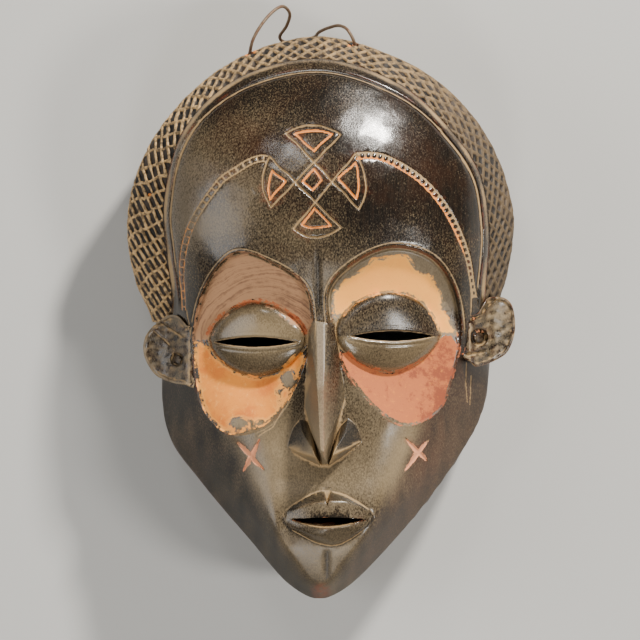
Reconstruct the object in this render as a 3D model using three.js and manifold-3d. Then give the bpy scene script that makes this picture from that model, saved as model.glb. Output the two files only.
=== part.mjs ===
// Carved wooden face mask with a lattice coiffure and its iron hanging wire.
// Millimetres. The mask lies on its back rim: +Z points out of the face, +Y to the crown.
import * as THREE from "three";
import { mergeVertices } from "three/addons/utils/BufferGeometryUtils.js";
import { ConvexGeometry } from "three/addons/geometries/ConvexGeometry.js";
import Module from "manifold-3d";

const wasm = await Module();
wasm.setup();

// Overall form of the head
const faceCentre = [1, 0];
const fanCentre = [0, -14];
const jawStartY = -8;
const jawFullY = -46;
const chinSoftness = 0.3;
const cheekSoftness = 0.75;
const foreheadRoundness = 4;
const foreheadFullness = 0.7;
const sideFall = 0.0026;
const bandWidth = 4.6;
const bandLift = 0.9;
const grooveDepth = 0.7;
const jawRimInset = 3;
const chinRimInset = 9;

// Heights above the back rim, by height on the face: [y, z]
const frontProfile = [
  [-130, 71], [-122, 75], [-112, 80], [-100, 84.5], [-86, 86], [-70, 83], [-50, 80.5],
  [-25, 81], [-5, 84], [12, 88.5], [28, 92.5], [46, 94.5], [64, 94.5], [82, 92], [100, 87], [116, 82],
];
const edgeProfile = [
  [-126, 57], [-112, 50], [-85, 40], [-50, 34], [-20, 38], [10, 49], [45, 57], [80, 63], [114, 66],
];
// How far out the flat front of the lower face reaches before its sides turn back
const jawBreak = [
  [-126, 0.97], [-118, 0.952], [-108, 0.915], [-92, 0.878], [-75, 0.825], [-55, 0.77], [-20, 0.72],
];

// Edge of the smooth face: crease against the lattice above the ears, jaw silhouette below
const faceOutline = [
  [0.8, 114], [-36.8, 105.1], [-60.3, 82.2], [-69, 50], [-67.8, 28.6], [-65.5, 6], [-70.2, -32.4],
  [-66.8, -53], [-53.3, -72.4], [-31.1, -99], [-13, -119], [-0.9, -124.8], [10, -121], [31.1, -101.2],
  [57.7, -67.9], [72.4, -41.3], [75.2, -15], [73.2, 6], [74.9, 38], [70.5, 63.5], [58.1, 82.2],
  [36.3, 102.1],
];
// Widest line of the coiffure, from the left ear over the crown to the right ear
const coiffureOutline = [
  [-74, -8], [-76, 1], [-82.6, 16.4], [-86.1, 43.1], [-78.6, 71.9], [-57.7, 99.9], [-31.1, 117.7],
  [0, 124.8], [26.6, 118.5], [53.3, 104.3], [75.5, 78.6], [86.4, 45], [83, 16.4], [79, 4], [77, -6],
];

// Lattice of the coiffure
const latticeColumns = 88;
const latticeRows = 12;
const latticeStart = 171;
const latticeEnd = 12.6;
const pitDepth = 1.7;
const creaseDrop = 2.2;
const shoulderDrop = 17;
const bevelPower = 1.5;
const bevelLength = 0.73;
const rimBorder = 14;
const coiffureRimInset = 6;

// Hollow back
const wallAtRim = 8;
const frontWall = 9.5;
const coiffureSquareness = 3;
const jawSquareness = 5.5;
const dentHalfWidth = 28;
const dentHalfHeight = 40;

// Eye sockets: outlines and depths below the face
const socketOutlineLeft = [
  [-37.3, 28.4], [-50, 15], [-56, -6], [-55.2, -26], [-51.5, -41.3], [-39.5, -51.9], [-22.6, -47.5],
  [-12, -33], [-6, -18], [-3, -2], [-6.5, 13.5], [-20.9, 24],
];
const socketOutlineRight = [
  [32.4, 31.3], [15, 24.5], [4, 13], [4, -4], [9.1, -20], [18, -33], [35.1, -47.8], [52.2, -41.7],
  [59.5, -24], [62.6, -5], [58.6, 14.5], [49.3, 26.6],
];
const socketCentreLeft = [-29, -10];
const socketCentreRight = [32, -8];
const socketEdgeTop = 4.2;
const socketEdgeBottom = 1;
const socketDepth = 10;

// Eyes: centre and half sizes of the lids' dome, and its rise over the socket floor
const eyeLeft = { centre: [-27.9, -10.1], half: [21.2, 16.4], slit: [-28.4, -11] };
const eyeRight = { centre: [30.2, -6.5], half: [23.3, 17.7], slit: [32.1, -8.4] };
const eyePointed = 1.75;
const eyeRise = 9;
const eyeSlitLength = 36;
const eyeSlitHeight = 4.2;

// Nose: the corners of the bridge and of the nostril wings, as places and heights over the face
const noseRoot = 6;
const bridgeCorners = [
  [-2.5, -1.4, -0.5], [-4.7, -5.8, -3.5], [-5.8, -21.3, -2], [-6.9, -39.1, -0.5], [4, -2.7, -3],
  [6.7, -8.9, -3.5], [9.8, -25.8, -1.2], [11.2, -34.6, -0.5], [-5, -48, -0.5], [1, -65.3, -0.5],
  [3.6, -65.1, -0.5], [-1.6, -3.1, 1.2], [1.6, -3.1, 1.2], [-1.3, -30, 16.5], [1.6, -30, 16.5],
  [0.2, -58.5, 23.2], [1.7, -58.8, 23.2], [1.8, -61.9, 19.2],
];
const leftWingCorners = [
  [-8.9, -44.6, -0.4], [-12, -48.6, -0.4], [-13.8, -53.3, -0.4], [-14.4, -56.8, 0],
  [-12.9, -58.8, -0.4], [-6.7, -62.4, -0.4], [0.5, -65.6, -0.4], [-7.1, -45.3, 0.2],
  [-4.9, -47.5, 1], [-3.1, -51.5, 3.5], [-7.5, -51.3, 6.8], [-5.3, -55.5, 10.2],
  [-2.7, -59, 13.6], [-8.9, -59.5, 6.6], [-1.8, -61.5, 15],
];
const rightWingCorners = [
  [12.9, -44.6, -0.4], [15.7, -47.1, -0.4], [17.8, -50.6, -0.4], [18.6, -54.6, 0],
  [15.1, -57.6, -0.4], [8.9, -62.4, -0.4], [3.5, -65.5, -0.4], [12.3, -44.9, 0.2],
  [9.3, -48.4, 1.2], [7.1, -53.3, 4], [11.5, -50.8, 6.2], [8.9, -55.3, 10.2],
  [6.2, -59, 13.6], [16.4, -55.3, 1.8], [11.1, -58.1, 7.6], [5.3, -60.8, 14.5],
];

// Mouth: the corners of the two lips in the same way, the notch under the nose, the pierced
// slit, and the curved line from which the lower lip's inner face slopes back to it
const lipRoot = 6;
const upperLipCorners = [
  [-16.2, -87.9, -0.4], [-12.4, -82.6, -0.4], [-3.6, -77.3, -0.4], [0.4, -76.2, -0.4],
  [5.3, -76.4, -0.4], [11.1, -78.2, -0.4], [20, -83.3, -0.4], [23.5, -87.5, -0.4],
  [-8.9, -83.5, 2.7], [0.9, -81, 5.1], [5.3, -80.7, 5.3], [11.1, -80.9, 4.4], [21.2, -85.6, 0.9],
  [-12, -88.2, 1.8], [-6, -88.6, 4.2], [3, -88.8, 6.6], [11, -88.6, 5], [18, -88.2, 2.4],
];
const lowerLipCorners = [
  [-16.2, -88.4, -0.4], [-13.3, -93.4, -0.4], [-2.2, -99.2, -0.4], [2.2, -100.5, -0.4],
  [8.9, -100.1, -0.4], [14.2, -97.4, -0.4], [22.8, -89.8, -0.4], [23.5, -88, -0.4],
  [-10.2, -92.8, 2.8], [1.2, -96, 4.9], [5.3, -99.6, 1.8], [14, -96.3, 1.8], [-6, -91.6, 4.3],
  [3, -92.8, 6], [12, -91.6, 4.9], [-11.5, -89.6, 2.4], [18, -89.4, 2.6],
];
const notchX = 3.3;
const notchHalf = 2.2;
const notchTop = -75.6;
const notchFoot = -82.8;
const mouthSlitLength = 34;
const mouthSlitHeight = 2.7;
const mouthSlitCentre = [3.9, -89.2];
const innerLipHalf = 18.5;
const innerLipTop = -87.6;
const innerLipDrop = 5.2;
const innerLipDepth = 4.5;

// Engraving: crossed scars on the cheeks, and the cross of the forehead, whose arms are
// pairs of diagonals closed by bowed ends: [from, to, bow]
const scars = [
  [[-36, -55.4], [-24.8, -67.2]],
  [[-26.6, -54.1], [-33.5, -67.8]],
  [[37.5, -53.5], [47.5, -64.1]],
  [[47.9, -54.1], [37.3, -67.8]],
];
const scarWidth = 1.8;
const scarDepth = 0.9;
const crossLines = [
  [[-14.7, 80.8], [17.3, 47.1], 0],
  [[-22.2, 70.6], [9.3, 39.1], 0],
  [[9.1, 79.9], [-21.5, 48], 0],
  [[15.5, 71.5], [-11.5, 38.6], 0],
  [[-14.7, 80.8], [9.1, 79.9], 4],
  [[-21.5, 48], [-22.2, 70.6], 3.3],
  [[15.5, 71.5], [17.3, 47.1], 3.8],
  [[9.3, 39.1], [-11.5, 38.6], 4],
];
const crossWidth = 1.1;
const crossDepth = 0.8;
const grooveStep = 9;

// Ears
const earThickness = 9;
const earTilt = 0.22;
const earBevel = 1.4;
const earOutlineLeft = [
  [-57.7, -6], [-61, -2.8], [-66, 0.4], [-72.5, -2.4], [-77.6, -10], [-77.3, -18.5], [-71.9, -26.6],
  [-65, -30.4], [-57.7, -31.5],
];
const earOutlineRight = [
  [66.4, -1], [70, 4.4], [78.5, 8], [85, 5.2], [86.8, -5], [83.5, -15.1], [77.3, -19.5], [70, -22.2],
  [66, -18],
];

// Hanging wire
const wireRadius = 0.75;
const wireSides = 6;
const wireSteps = 42;
const wireHoleRadius = 1.5;

// Eases from 0 at the first value to 1 at the second, whichever is the larger
const smoothstep = (from, to, value) =>
  from < to
    ? THREE.MathUtils.smoothstep(value, from, to)
    : THREE.MathUtils.smoothstep(-value, -from, -to);

// The smaller of two values, rounded where they come within the given softness
function softMin(a, b, softness) {
  const overlap = Math.max(softness - Math.abs(a - b), 0) / softness;
  return Math.min(a, b) - (overlap * overlap * softness) / 4;
}

// A height read off a profile of [place, height] stations, eased between them.
function along(stations, place) {
  const last = stations.length - 1;
  if (place <= stations[0][0]) return stations[0][1];
  if (place >= stations[last][0]) return stations[last][1];
  const next = stations.findIndex((station) => station[0] > place);
  const [x0, h0] = stations[next - 1];
  const [x1, h1] = stations[next];
  const slope = (k) => {
    const before = stations[Math.max(k - 1, 0)];
    const after = stations[Math.min(k + 1, last)];
    return (after[1] - before[1]) / (after[0] - before[0]);
  };
  const t = (place - x0) / (x1 - x0);
  const width = x1 - x0;
  return (
    h0 * (1 + 2 * t) * (1 - t) ** 2 +
    slope(next - 1) * width * t * (1 - t) ** 2 +
    h1 * t * t * (3 - 2 * t) +
    slope(next) * width * t * t * (t - 1)
  );
}

function splineThrough(points, closed) {
  const corners = points.map(([x, y]) => new THREE.Vector3(x, y, 0));
  return new THREE.CatmullRomCurve3(corners, closed, "centripetal");
}

// The distance from a centre to an outline, as a function of the angle.
function radiusAbout(points, closed, centre) {
  const samples = splineThrough(points, closed)
    .getPoints(900)
    .map((p) => [Math.atan2(p.y - centre[1], p.x - centre[0]), Math.hypot(p.x - centre[0], p.y - centre[1])])
    .sort((a, b) => a[0] - b[0]);
  return (angle) => {
    const turn = Math.atan2(Math.sin(angle), Math.cos(angle));
    let after = samples.findIndex((sample) => sample[0] >= turn);
    if (after < 0) after = 0;
    const before = (after + samples.length - 1) % samples.length;
    const [a0, r0] = samples[before];
    const [a1, r1] = samples[after];
    const span = a1 - a0 + (a1 < a0 ? 2 * Math.PI : 0);
    const step = turn - a0 + (turn < a0 ? 2 * Math.PI : 0);
    return span > 1e-9 ? r0 + ((r1 - r0) * step) / span : r1;
  };
}

const faceRadius = radiusAbout(faceOutline, true, faceCentre);
const creaseRadius = radiusAbout(faceOutline, true, fanCentre);
const coiffureRadius = radiusAbout(coiffureOutline, false, fanCentre);
const radiusFromFace = radiusAbout([...coiffureOutline, [74, -25], [-70, -25]], true, faceCentre);
const sockets = [
  { outline: socketOutlineLeft, centre: socketCentreLeft },
  { outline: socketOutlineRight, centre: socketCentreRight },
];
for (const socket of sockets) socket.radiusOf = radiusAbout(socket.outline, true, socket.centre);

const reachAt = (x, y) => {
  const angle = Math.atan2(y - faceCentre[1], x - faceCentre[0]);
  return Math.hypot(x - faceCentre[0], y - faceCentre[1]) / faceRadius(angle);
};

// Height of the smooth front of the head: a bulging forehead above, flat cheeks with
// turned-back sides below.
function frontHeight(x, y) {
  const reach = Math.min(reachAt(x, y), 1);
  const edge = along(edgeProfile, y);
  const crest = along(frontProfile, y) - sideFall * x * x;
  const dome = (1 - reach ** foreheadRoundness) ** foreheadFullness;
  const softness = chinSoftness + (cheekSoftness - chinSoftness) * smoothstep(-100, -62, y);
  const side = softMin(1, (1 - reach) / (1 - along(jawBreak, y)), softness);
  const jaw = smoothstep(jawStartY, jawFullY, y);
  return edge + (crest - edge) * (dome + (side - dome) * jaw);
}

// How far the flat rim stays inside the jaw's silhouette, most under the chin
const rimInset = (y) => jawRimInset + (chinRimInset - jawRimInset) * smoothstep(-88, -124, y);

// A sphere's grid drawn over another closed form: pointAt(angle, ring) places each vertex.
function shapedSolid(columns, rings, pointAt) {
  const geometry = new THREE.SphereGeometry(1, columns, rings);
  const { position, uv } = geometry.attributes;
  for (let i = 0; i < position.count; i++) {
    const ring = Math.round((1 - uv.getY(i)) * rings);
    const pole = ring === 0 || ring === rings;
    const column = pole ? 0 : Math.round(uv.getX(i) * columns) % columns;
    position.setXYZ(i, ...pointAt((column / columns) * 2 * Math.PI + Math.PI, ring));
  }
  return solidOf(geometry);
}

function solidOf(geometry) {
  const bare = geometry.index ? geometry.clone() : geometry;
  for (const name of ["normal", "uv"]) bare.deleteAttribute(name);
  const merged = mergeVertices(bare, 1e-4);
  const { array } = merged.index;
  const triVerts = [];
  for (let i = 0; i < array.length; i += 3) {
    const [a, b, c] = [array[i], array[i + 1], array[i + 2]];
    if (a !== b && b !== c && c !== a) triVerts.push(a, b, c);
  }
  return new wasm.Manifold(
    new wasm.Mesh({
      numProp: 3,
      vertProperties: new Float32Array(merged.attributes.position.array),
      triVerts: new Uint32Array(triVerts),
    }),
  );
}

function geometryOf(solid) {
  const { vertProperties, triVerts } = solid.getMesh();
  const geometry = new THREE.BufferGeometry();
  geometry.setAttribute("position", new THREE.BufferAttribute(new Float32Array(vertProperties), 3));
  geometry.setIndex(new THREE.BufferAttribute(new Uint32Array(triVerts), 1));
  return geometry;
}

// The face and jaw: rings over the front, then down the sides to the flat rim
function faceSolid() {
  const columns = 64;
  const front = [0, 0.16, 0.31, 0.45, 0.57, 0.67, 0.75, 0.82, 0.87, 0.91];
  const bandRings = 3;
  const wallRings = 3;
  const rings = front.length + bandRings + wallRings;
  return shapedSolid(columns, rings, (angle, ring) => {
    const radius = faceRadius(angle);
    const direction = [Math.cos(angle), Math.sin(angle)];
    const place = (distance, height) => {
      const x = faceCentre[0] + direction[0] * distance;
      const y = faceCentre[1] + direction[1] * distance;
      return [x, y, typeof height === "number" ? height : height(x, y)];
    };
    if (ring < front.length) return place(front[ring] * radius, frontHeight);
    const edgeY = faceCentre[1] + direction[1] * radius;
    const banded = smoothstep(0, 14, edgeY);
    const bandStep = ring - front.length;
    if (bandStep < bandRings) {
      const inset = [bandWidth, bandWidth - 1, 0][bandStep];
      const lift = [-grooveDepth, bandLift, bandLift][bandStep] * banded;
      return place(radius - inset, (x, y) => frontHeight(x, y) + lift);
    }
    const wallStep = bandStep - bandRings;
    const edge = along(edgeProfile, edgeY);
    if (wallStep === 0) return place(radius - 0.35 * rimInset(edgeY) + 1.2, edge * 0.5);
    if (wallStep === 1) return place(radius - rimInset(edgeY), 0);
    return [...faceCentre, 0];
  });
}

// Cross-section of the coiffure: outwards from the crease and down to the rim,
// place running from 0 at the crease to 1 at the top of the plain border
function coiffurePoint(angle, place, sink) {
  const inner = creaseRadius(angle);
  const outer = coiffureRadius(angle);
  const direction = [Math.cos(angle), Math.sin(angle)];
  const creaseY = fanCentre[1] + direction[1] * inner;
  const creaseZ = along(edgeProfile, creaseY) - creaseDrop;
  const width = outer - inner;
  const shoulderZ = creaseZ - Math.min(shoulderDrop, 0.42 * creaseZ);
  const quarter = bevelLength * (width + creaseZ - shoulderZ);
  const total = quarter + shoulderZ - rimBorder;
  const run = place * total;
  let out;
  let z;
  let normal;
  if (run < quarter) {
    const turn = (run / quarter) * (Math.PI / 2);
    const [sine, cosine] = [Math.sin(turn), Math.cos(turn)];
    out = inner + width * sine ** bevelPower;
    z = shoulderZ + (creaseZ - shoulderZ) * cosine ** bevelPower;
    normal = [
      (creaseZ - shoulderZ) * cosine ** (bevelPower - 1) * sine,
      width * sine ** (bevelPower - 1) * cosine,
    ];
  } else {
    const down = (run - quarter) / shoulderZ;
    out = outer - coiffureRimInset * down * down;
    z = shoulderZ * (1 - down);
    normal = [1, -0.15];
  }
  const length = Math.hypot(...normal) || 1;
  out -= (sink * normal[0]) / length;
  z -= (sink * normal[1]) / length;
  return [fanCentre[0] + direction[0] * out, fanCentre[1] + direction[1] * out, z];
}

// Angles of the lattice columns, evenly spaced along the middle of the lattice
function latticeAngles() {
  const start = THREE.MathUtils.degToRad(latticeStart);
  const end = THREE.MathUtils.degToRad(latticeEnd);
  const steps = 600;
  const walk = [0];
  const middle = (angle) => {
    const out = 0.4 * creaseRadius(angle) + 0.6 * coiffureRadius(angle);
    return [out * Math.cos(angle), out * Math.sin(angle)];
  };
  for (let i = 1; i <= steps; i++) {
    const [x0, y0] = middle(start + ((end - start) * (i - 1)) / steps);
    const [x1, y1] = middle(start + ((end - start) * i) / steps);
    walk.push(walk[i - 1] + Math.hypot(x1 - x0, y1 - y0));
  }
  return Array.from({ length: latticeColumns + 1 }, (_, column) => {
    const target = (walk[steps] * column) / latticeColumns;
    const next = Math.max(1, walk.findIndex((length) => length >= target - 1e-9));
    const part = (target - walk[next - 1]) / (walk[next] - walk[next - 1]);
    return start + ((end - start) * (next - 1 + part)) / steps;
  });
}

// The coiffure: a bent grid whose alternate corners are sunk, so that the diagonals stand
// as ribs round four-sided pits, closed by a plain border, the rim and the inside.
function coiffureSolid() {
  const angles = latticeAngles();
  const rows = latticeRows + 4;
  const grid = new THREE.PlaneGeometry(1, 1, latticeColumns, rows);
  const corner = (column, row) => row * (latticeColumns + 1) + column;
  const { position } = grid.attributes;
  for (let row = 0; row <= rows; row++) {
    for (let column = 0; column <= latticeColumns; column++) {
      const angle = angles[column];
      const edge = row === 0 || row === latticeRows || column === 0 || column === latticeColumns;
      const sink = (row + column) % 2 && !edge ? pitDepth : 0;
      let point;
      if (row <= latticeRows) point = coiffurePoint(angle, row / latticeRows, sink);
      else {
        const rim = coiffureRadius(angle) - coiffureRimInset;
        const inside = creaseRadius(angle) - 6;
        const top = coiffurePoint(angle, 0, 0)[2] - 1;
        const out = [rim, inside, inside, creaseRadius(angle)][row - latticeRows - 1];
        const z = [0, 0, top, top + 1][row - latticeRows - 1];
        point = [fanCentre[0] + out * Math.cos(angle), fanCentre[1] + out * Math.sin(angle), z];
      }
      position.setXYZ(corner(column, row), ...point);
    }
  }
  const faces = [];
  for (let row = 0; row < rows; row++) {
    for (let column = 0; column < latticeColumns; column++) {
      const [a, b] = [corner(column, row), corner(column + 1, row)];
      const [c, d] = [corner(column, row + 1), corner(column + 1, row + 1)];
      if ((row + column) % 2) faces.push(a, b, c, b, d, c);
      else faces.push(a, b, d, a, d, c);
    }
  }
  const points = Array.from(position.array);
  for (const column of [0, latticeColumns]) {
    const centre = points.length / 3;
    const ring = Array.from({ length: rows }, (_, row) => corner(column, row));
    const mean = [0, 1, 2].map((k) => ring.reduce((sum, v) => sum + points[3 * v + k], 0) / rows);
    points.push(...mean);
    ring.forEach((v, row) => {
      const next = ring[(row + 1) % rows];
      if (column === 0) faces.push(centre, v, next);
      else faces.push(centre, next, v);
    });
  }
  const geometry = new THREE.BufferGeometry();
  geometry.setAttribute("position", new THREE.Float32BufferAttribute(points, 3));
  geometry.setIndex(faces.map((v) => (v >= corner(0, rows) && v <= corner(latticeColumns, rows)
    ? v - corner(0, rows) : v)));
  return solidOf(geometry);
}

// How far the hollow stays back behind the eye sockets
function socketDent(x, y) {
  const dents = sockets.map(({ centre }) => {
    const [across, up] = [(x - centre[0]) / dentHalfWidth, (y - centre[1]) / dentHalfHeight];
    return socketDepth * Math.exp(-across * across - up * up);
  });
  return Math.max(...dents);
}

// The hollow behind the face, open at the rim
function hollowSolid() {
  const columns = 36;
  const rings = 10;
  const below = 2;
  const [cx, cy] = faceCentre;
  return shapedSolid(columns, rings, (angle, ring) => {
    const direction = [Math.cos(angle), Math.sin(angle)];
    const face = faceRadius(angle) - rimInset(cy + direction[1] * faceRadius(angle));
    const upper = smoothstep(-14, 20, cy + direction[1] * face);
    const coiffure = radiusFromFace(angle) - coiffureRimInset;
    const rim = face + (coiffure - face) * upper - wallAtRim;
    if (ring === rings) return [cx, cy, -below];
    if (ring === rings - 1) return [cx + direction[0] * rim, cy + direction[1] * rim, -below];
    const reach = Math.sin((ring / (rings - 2)) * (Math.PI / 2));
    const x = cx + direction[0] * rim * reach;
    const y = cy + direction[1] * rim * reach;
    const crest = along(frontProfile, y) - sideFall * x * x - frontWall - socketDent(x, y);
    const squareness = jawSquareness + (coiffureSquareness - jawSquareness) * upper;
    return [x, y, crest * (1 - reach ** squareness) ** 0.48];
  });
}

// A socket cutter: the outline's prism standing on a bowl-shaped floor
function socketFloor(x, y, centre, radiusOf) {
  const angle = Math.atan2(y - centre[1], x - centre[0]);
  const reach = Math.min(1, Math.hypot(x - centre[0], y - centre[1]) / radiusOf(angle));
  const edge = socketEdgeBottom + (socketEdgeTop - socketEdgeBottom) * smoothstep(-22, 16, y);
  return frontHeight(x, y) - edge - (socketDepth - edge) * (1 - reach ** 2.2);
}

function socketCutter({ centre, radiusOf }) {
  const rings = 7;
  return shapedSolid(34, rings, (angle, ring) => {
    const top = 115;
    if (ring === 0) return [...centre, top];
    const reach = ring === 1 ? 1 : (rings - ring) / (rings - 2);
    const x = centre[0] + Math.cos(angle) * radiusOf(angle) * reach;
    const y = centre[1] + Math.sin(angle) * radiusOf(angle) * reach;
    return [x, y, ring === 1 ? top : socketFloor(x, y, centre, radiusOf)];
  });
}

// The closed lids: a dome with drawn-out corners that follows the socket floor
function eyeSolid({ centre, half }, socket) {
  const power = eyePointed;
  return shapedSolid(20, 8, (angle, ring) => {
    const tilt = (ring / 8) * Math.PI;
    const [across, up] = [Math.cos(angle), Math.sin(angle)];
    const out = Math.sin(tilt) * (Math.abs(across) ** power + Math.abs(up) ** power) ** (-1 / power);
    const x = centre[0] + half[0] * across * out;
    const y = centre[1] + half[1] * up * out;
    return [x, y, socketFloor(x, y, socket.centre, socket.radiusOf) + eyeRise * Math.cos(tilt)];
  });
}

// A pointed slit standing right through the wall
function slitCutter(centre, length, height, bottom, top) {
  const half = length / 2;
  const shape = new THREE.Shape();
  shape.moveTo(-half, 0);
  shape.quadraticCurveTo(0, height, half, 0);
  shape.quadraticCurveTo(0, -height, -half, 0);
  const prism = new THREE.ExtrudeGeometry(shape, {
    depth: top - bottom,
    bevelEnabled: false,
    curveSegments: 6,
  });
  prism.translate(centre[0], centre[1], bottom);
  return solidOf(prism);
}

const hullOf = (points) => solidOf(new ConvexGeometry(points.map((p) => new THREE.Vector3(...p))));

// A faceted block set into the face: corners as places and heights over the face, those at
// the surface also taken down by the root
function blockOnFace(corners, root) {
  const points = corners.map(([x, y, rise]) => [x, y, frontHeight(x, y) + rise]);
  const foot = corners
    .filter(([, , rise]) => rise < 0)
    .map(([x, y, rise]) => [x, y, frontHeight(x, y) + rise - root]);
  return hullOf([...points, ...foot]);
}

// The nose: a wedge with a narrow ridge, and the two wings of the nostrils
function noseSolid() {
  return blockOnFace(bridgeCorners, noseRoot)
    .add(blockOnFace(leftWingCorners, noseRoot))
    .add(blockOnFace(rightWingCorners, noseRoot));
}

// The notch in the upper lip: a V that runs out downwards
function notchCutter() {
  const above = 12;
  const level = (y) => frontHeight(notchX, y);
  return hullOf([
    [notchX - 2 * notchHalf, notchTop, level(notchTop) + above],
    [notchX + 2 * notchHalf, notchTop, level(notchTop) + above],
    [notchX, notchTop, level(notchTop) - 0.2],
    [notchX, notchFoot, level(notchFoot) + above],
    [notchX, notchFoot, level(notchFoot) + lipRoot],
    [notchX, notchFoot + 2, level(notchFoot) + 1],
  ]);
}

// The lower lip's inner face: what is above a plane from its curved edge back to the slit
function innerLipCutter() {
  const [above, back] = [12, mouthSlitCentre[1]];
  const points = [-0.85, -0.45, 0, 0.45, 0.85].flatMap((share) => {
    const x = notchX + share * innerLipHalf;
    const bulge = 1 - share * share;
    const edge = innerLipTop - innerLipDrop * bulge;
    const level = frontHeight(x, edge) + 1 + (lipRoot - 1) * bulge;
    return [
      [x, edge, level],
      [x, edge, level + above],
      [x, back, level + above],
      [x, back, level - innerLipDepth * bulge],
    ];
  });
  return hullOf(points);
}

// An ear: a tilted plate with a scooped cup and a knob by the temple
function earSolid(outline, hinge, height, side, knob) {
  const points = splineThrough(outline.map(([x, y]) => [x - hinge, y]), false).getPoints(20);
  const shape = new THREE.Shape(points.map((p) => new THREE.Vector2(p.x, p.y)));
  const plate = new THREE.ExtrudeGeometry(shape, {
    depth: earThickness - 2 * earBevel,
    bevelEnabled: true,
    bevelThickness: earBevel,
    bevelSize: earBevel,
    bevelOffset: -earBevel,
    bevelSegments: 1,
  });
  plate.rotateY(side * earTilt);
  plate.translate(hinge, 0, height);
  const cup = new THREE.SphereGeometry(1, 16, 10);
  cup.scale(knob.cup[0], knob.cup[1], 5);
  cup.rotateY(side * earTilt);
  cup.translate(knob.cupAt[0], knob.cupAt[1], knob.cupAt[2]);
  const bead = new THREE.SphereGeometry(knob.size, 10, 8);
  bead.translate(...knob.at);
  return solidOf(plate).subtract(solidOf(cup)).add(solidOf(bead));
}

// A groove cut to an even depth below the face, straight or bowed sideways
function grooveCutter([x0, y0], [x1, y1], width, depth, bow = 0) {
  const length = Math.hypot(x1 - x0, y1 - y0);
  const segments = Math.max(1, Math.round(length / grooveStep));
  const box = new THREE.BoxGeometry(1, width, 2, segments, 1, 1);
  const { position } = box.attributes;
  const [ux, uy] = [(x1 - x0) / length, (y1 - y0) / length];
  for (let i = 0; i < position.count; i++) {
    const t = position.getX(i) + 0.5;
    const side = position.getY(i) + 4 * bow * t * (1 - t);
    const x = x0 + (x1 - x0) * t - uy * side;
    const y = y0 + (y1 - y0) * t + ux * side;
    position.setXYZ(i, x, y, frontHeight(x, y) + (position.getZ(i) > 0 ? 3 : -depth));
  }
  return solidOf(box);
}

// The wire: up from the left hole in a tall loop, behind the crown, over in a low loop and
// down into the right hole, both ends bent inside
const wirePath = new THREE.CatmullRomCurve3(
  [
    [-34.6, 89.9, 22.2], [-35.9, 93.5, 24.4], [-34.1, 102.7, 33.6], [-32.5, 110.7, 41.6],
    [-31.3, 116.7, 47.6], [-29.7, 123, 52],
    [-26, 129.6, 52], [-20.7, 136, 48.5], [-16.4, 138.4, 43], [-13.5, 135.2, 37], [-14.8, 130.2, 30],
    [-18, 125.4, 20], [-15.5, 123.4, 11], [-9, 124, 8], [-3, 125.4, 13], [-0.4, 127.3, 26],
    [4.3, 128.9, 39], [8.7, 129.4, 47], [12, 127.6, 51.5], [14.3, 124, 52], [15.8, 120, 48.9],
    [17.2, 114, 42.7], [18.9, 106, 34.5], [20.7, 97.8, 26.2], [19, 94.5, 23.5],
  ].map((p) => new THREE.Vector3(...p)),
  false,
  "centripetal",
);

function wireSolid() {
  const section = new THREE.Shape();
  section.absarc(0, 0, wireRadius, 0, 2 * Math.PI);
  const wire = new THREE.ExtrudeGeometry(section, {
    steps: wireSteps,
    extrudePath: wirePath,
    bevelEnabled: false,
    curveSegments: wireSides / 2,
  });
  return solidOf(wire);
}

// A bore through the wall, in line with the wire's end
function boreCutter(from, to) {
  const start = new THREE.Vector3(...from);
  const end = new THREE.Vector3(...to);
  const bore = new THREE.CylinderGeometry(wireHoleRadius, wireHoleRadius, start.distanceTo(end), 10);
  const turn = new THREE.Quaternion().setFromUnitVectors(
    new THREE.Vector3(0, 1, 0),
    end.clone().sub(start).normalize(),
  );
  bore.applyQuaternion(turn);
  bore.translate(...start.add(end).multiplyScalar(0.5).toArray());
  return solidOf(bore);
}

let mask = faceSolid().add(coiffureSolid());
for (const socket of sockets) mask = mask.subtract(socketCutter(socket));
mask = mask.add(eyeSolid(eyeLeft, sockets[0])).add(eyeSolid(eyeRight, sockets[1]));
const lips = blockOnFace(upperLipCorners, lipRoot).subtract(notchCutter());
const lowerLip = blockOnFace(lowerLipCorners, lipRoot).subtract(innerLipCutter());
mask = mask.add(noseSolid()).add(lips).add(lowerLip);
for (const [from, to] of scars) mask = mask.subtract(grooveCutter(from, to, scarWidth, scarDepth));
for (const [from, to, bow] of crossLines) {
  mask = mask.subtract(grooveCutter(from, to, crossWidth, crossDepth, bow));
}
mask = mask.add(
  earSolid(earOutlineLeft, -57.7, 44, -1, {
    cup: [8.4, 12], cupAt: [-68.5, -14.5, 53.5], size: 2.6, at: [-62.6, -18.6, 49.6],
  }),
);
mask = mask.add(
  earSolid(earOutlineRight, 66.4, 42, 1, {
    cup: [7.4, 9.5], cupAt: [77, -7, 51.5], size: 3.4, at: [70.4, -8.2, 48],
  }),
);
mask = mask.subtract(hollowSolid());
for (const { slit } of [eyeLeft, eyeRight]) {
  mask = mask.subtract(slitCutter(slit, eyeSlitLength, eyeSlitHeight, 30, 110));
}
mask = mask.subtract(slitCutter(mouthSlitCentre, mouthSlitLength, mouthSlitHeight, 30, 110));
mask = mask.subtract(boreCutter([-30, 123.1, 54], [-36.4, 91.1, 22]));
mask = mask.subtract(boreCutter([14.7, 124.8, 53.8], [21.2, 96, 24.3]));

const group = new THREE.Group();
const parts = [
  ["mask", geometryOf(mask), { color: 0x2e231d, roughness: 0.45, metalness: 0 }],
  ["hanging_wire", geometryOf(wireSolid()), { color: 0x5a4a3e, roughness: 0.6, metalness: 0.7 }],
];
for (const [name, geometry, look] of parts) {
  geometry.computeVertexNormals();
  const mesh = new THREE.Mesh(geometry, new THREE.MeshStandardMaterial(look));
  mesh.name = name;
  group.add(mesh);
}

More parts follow.
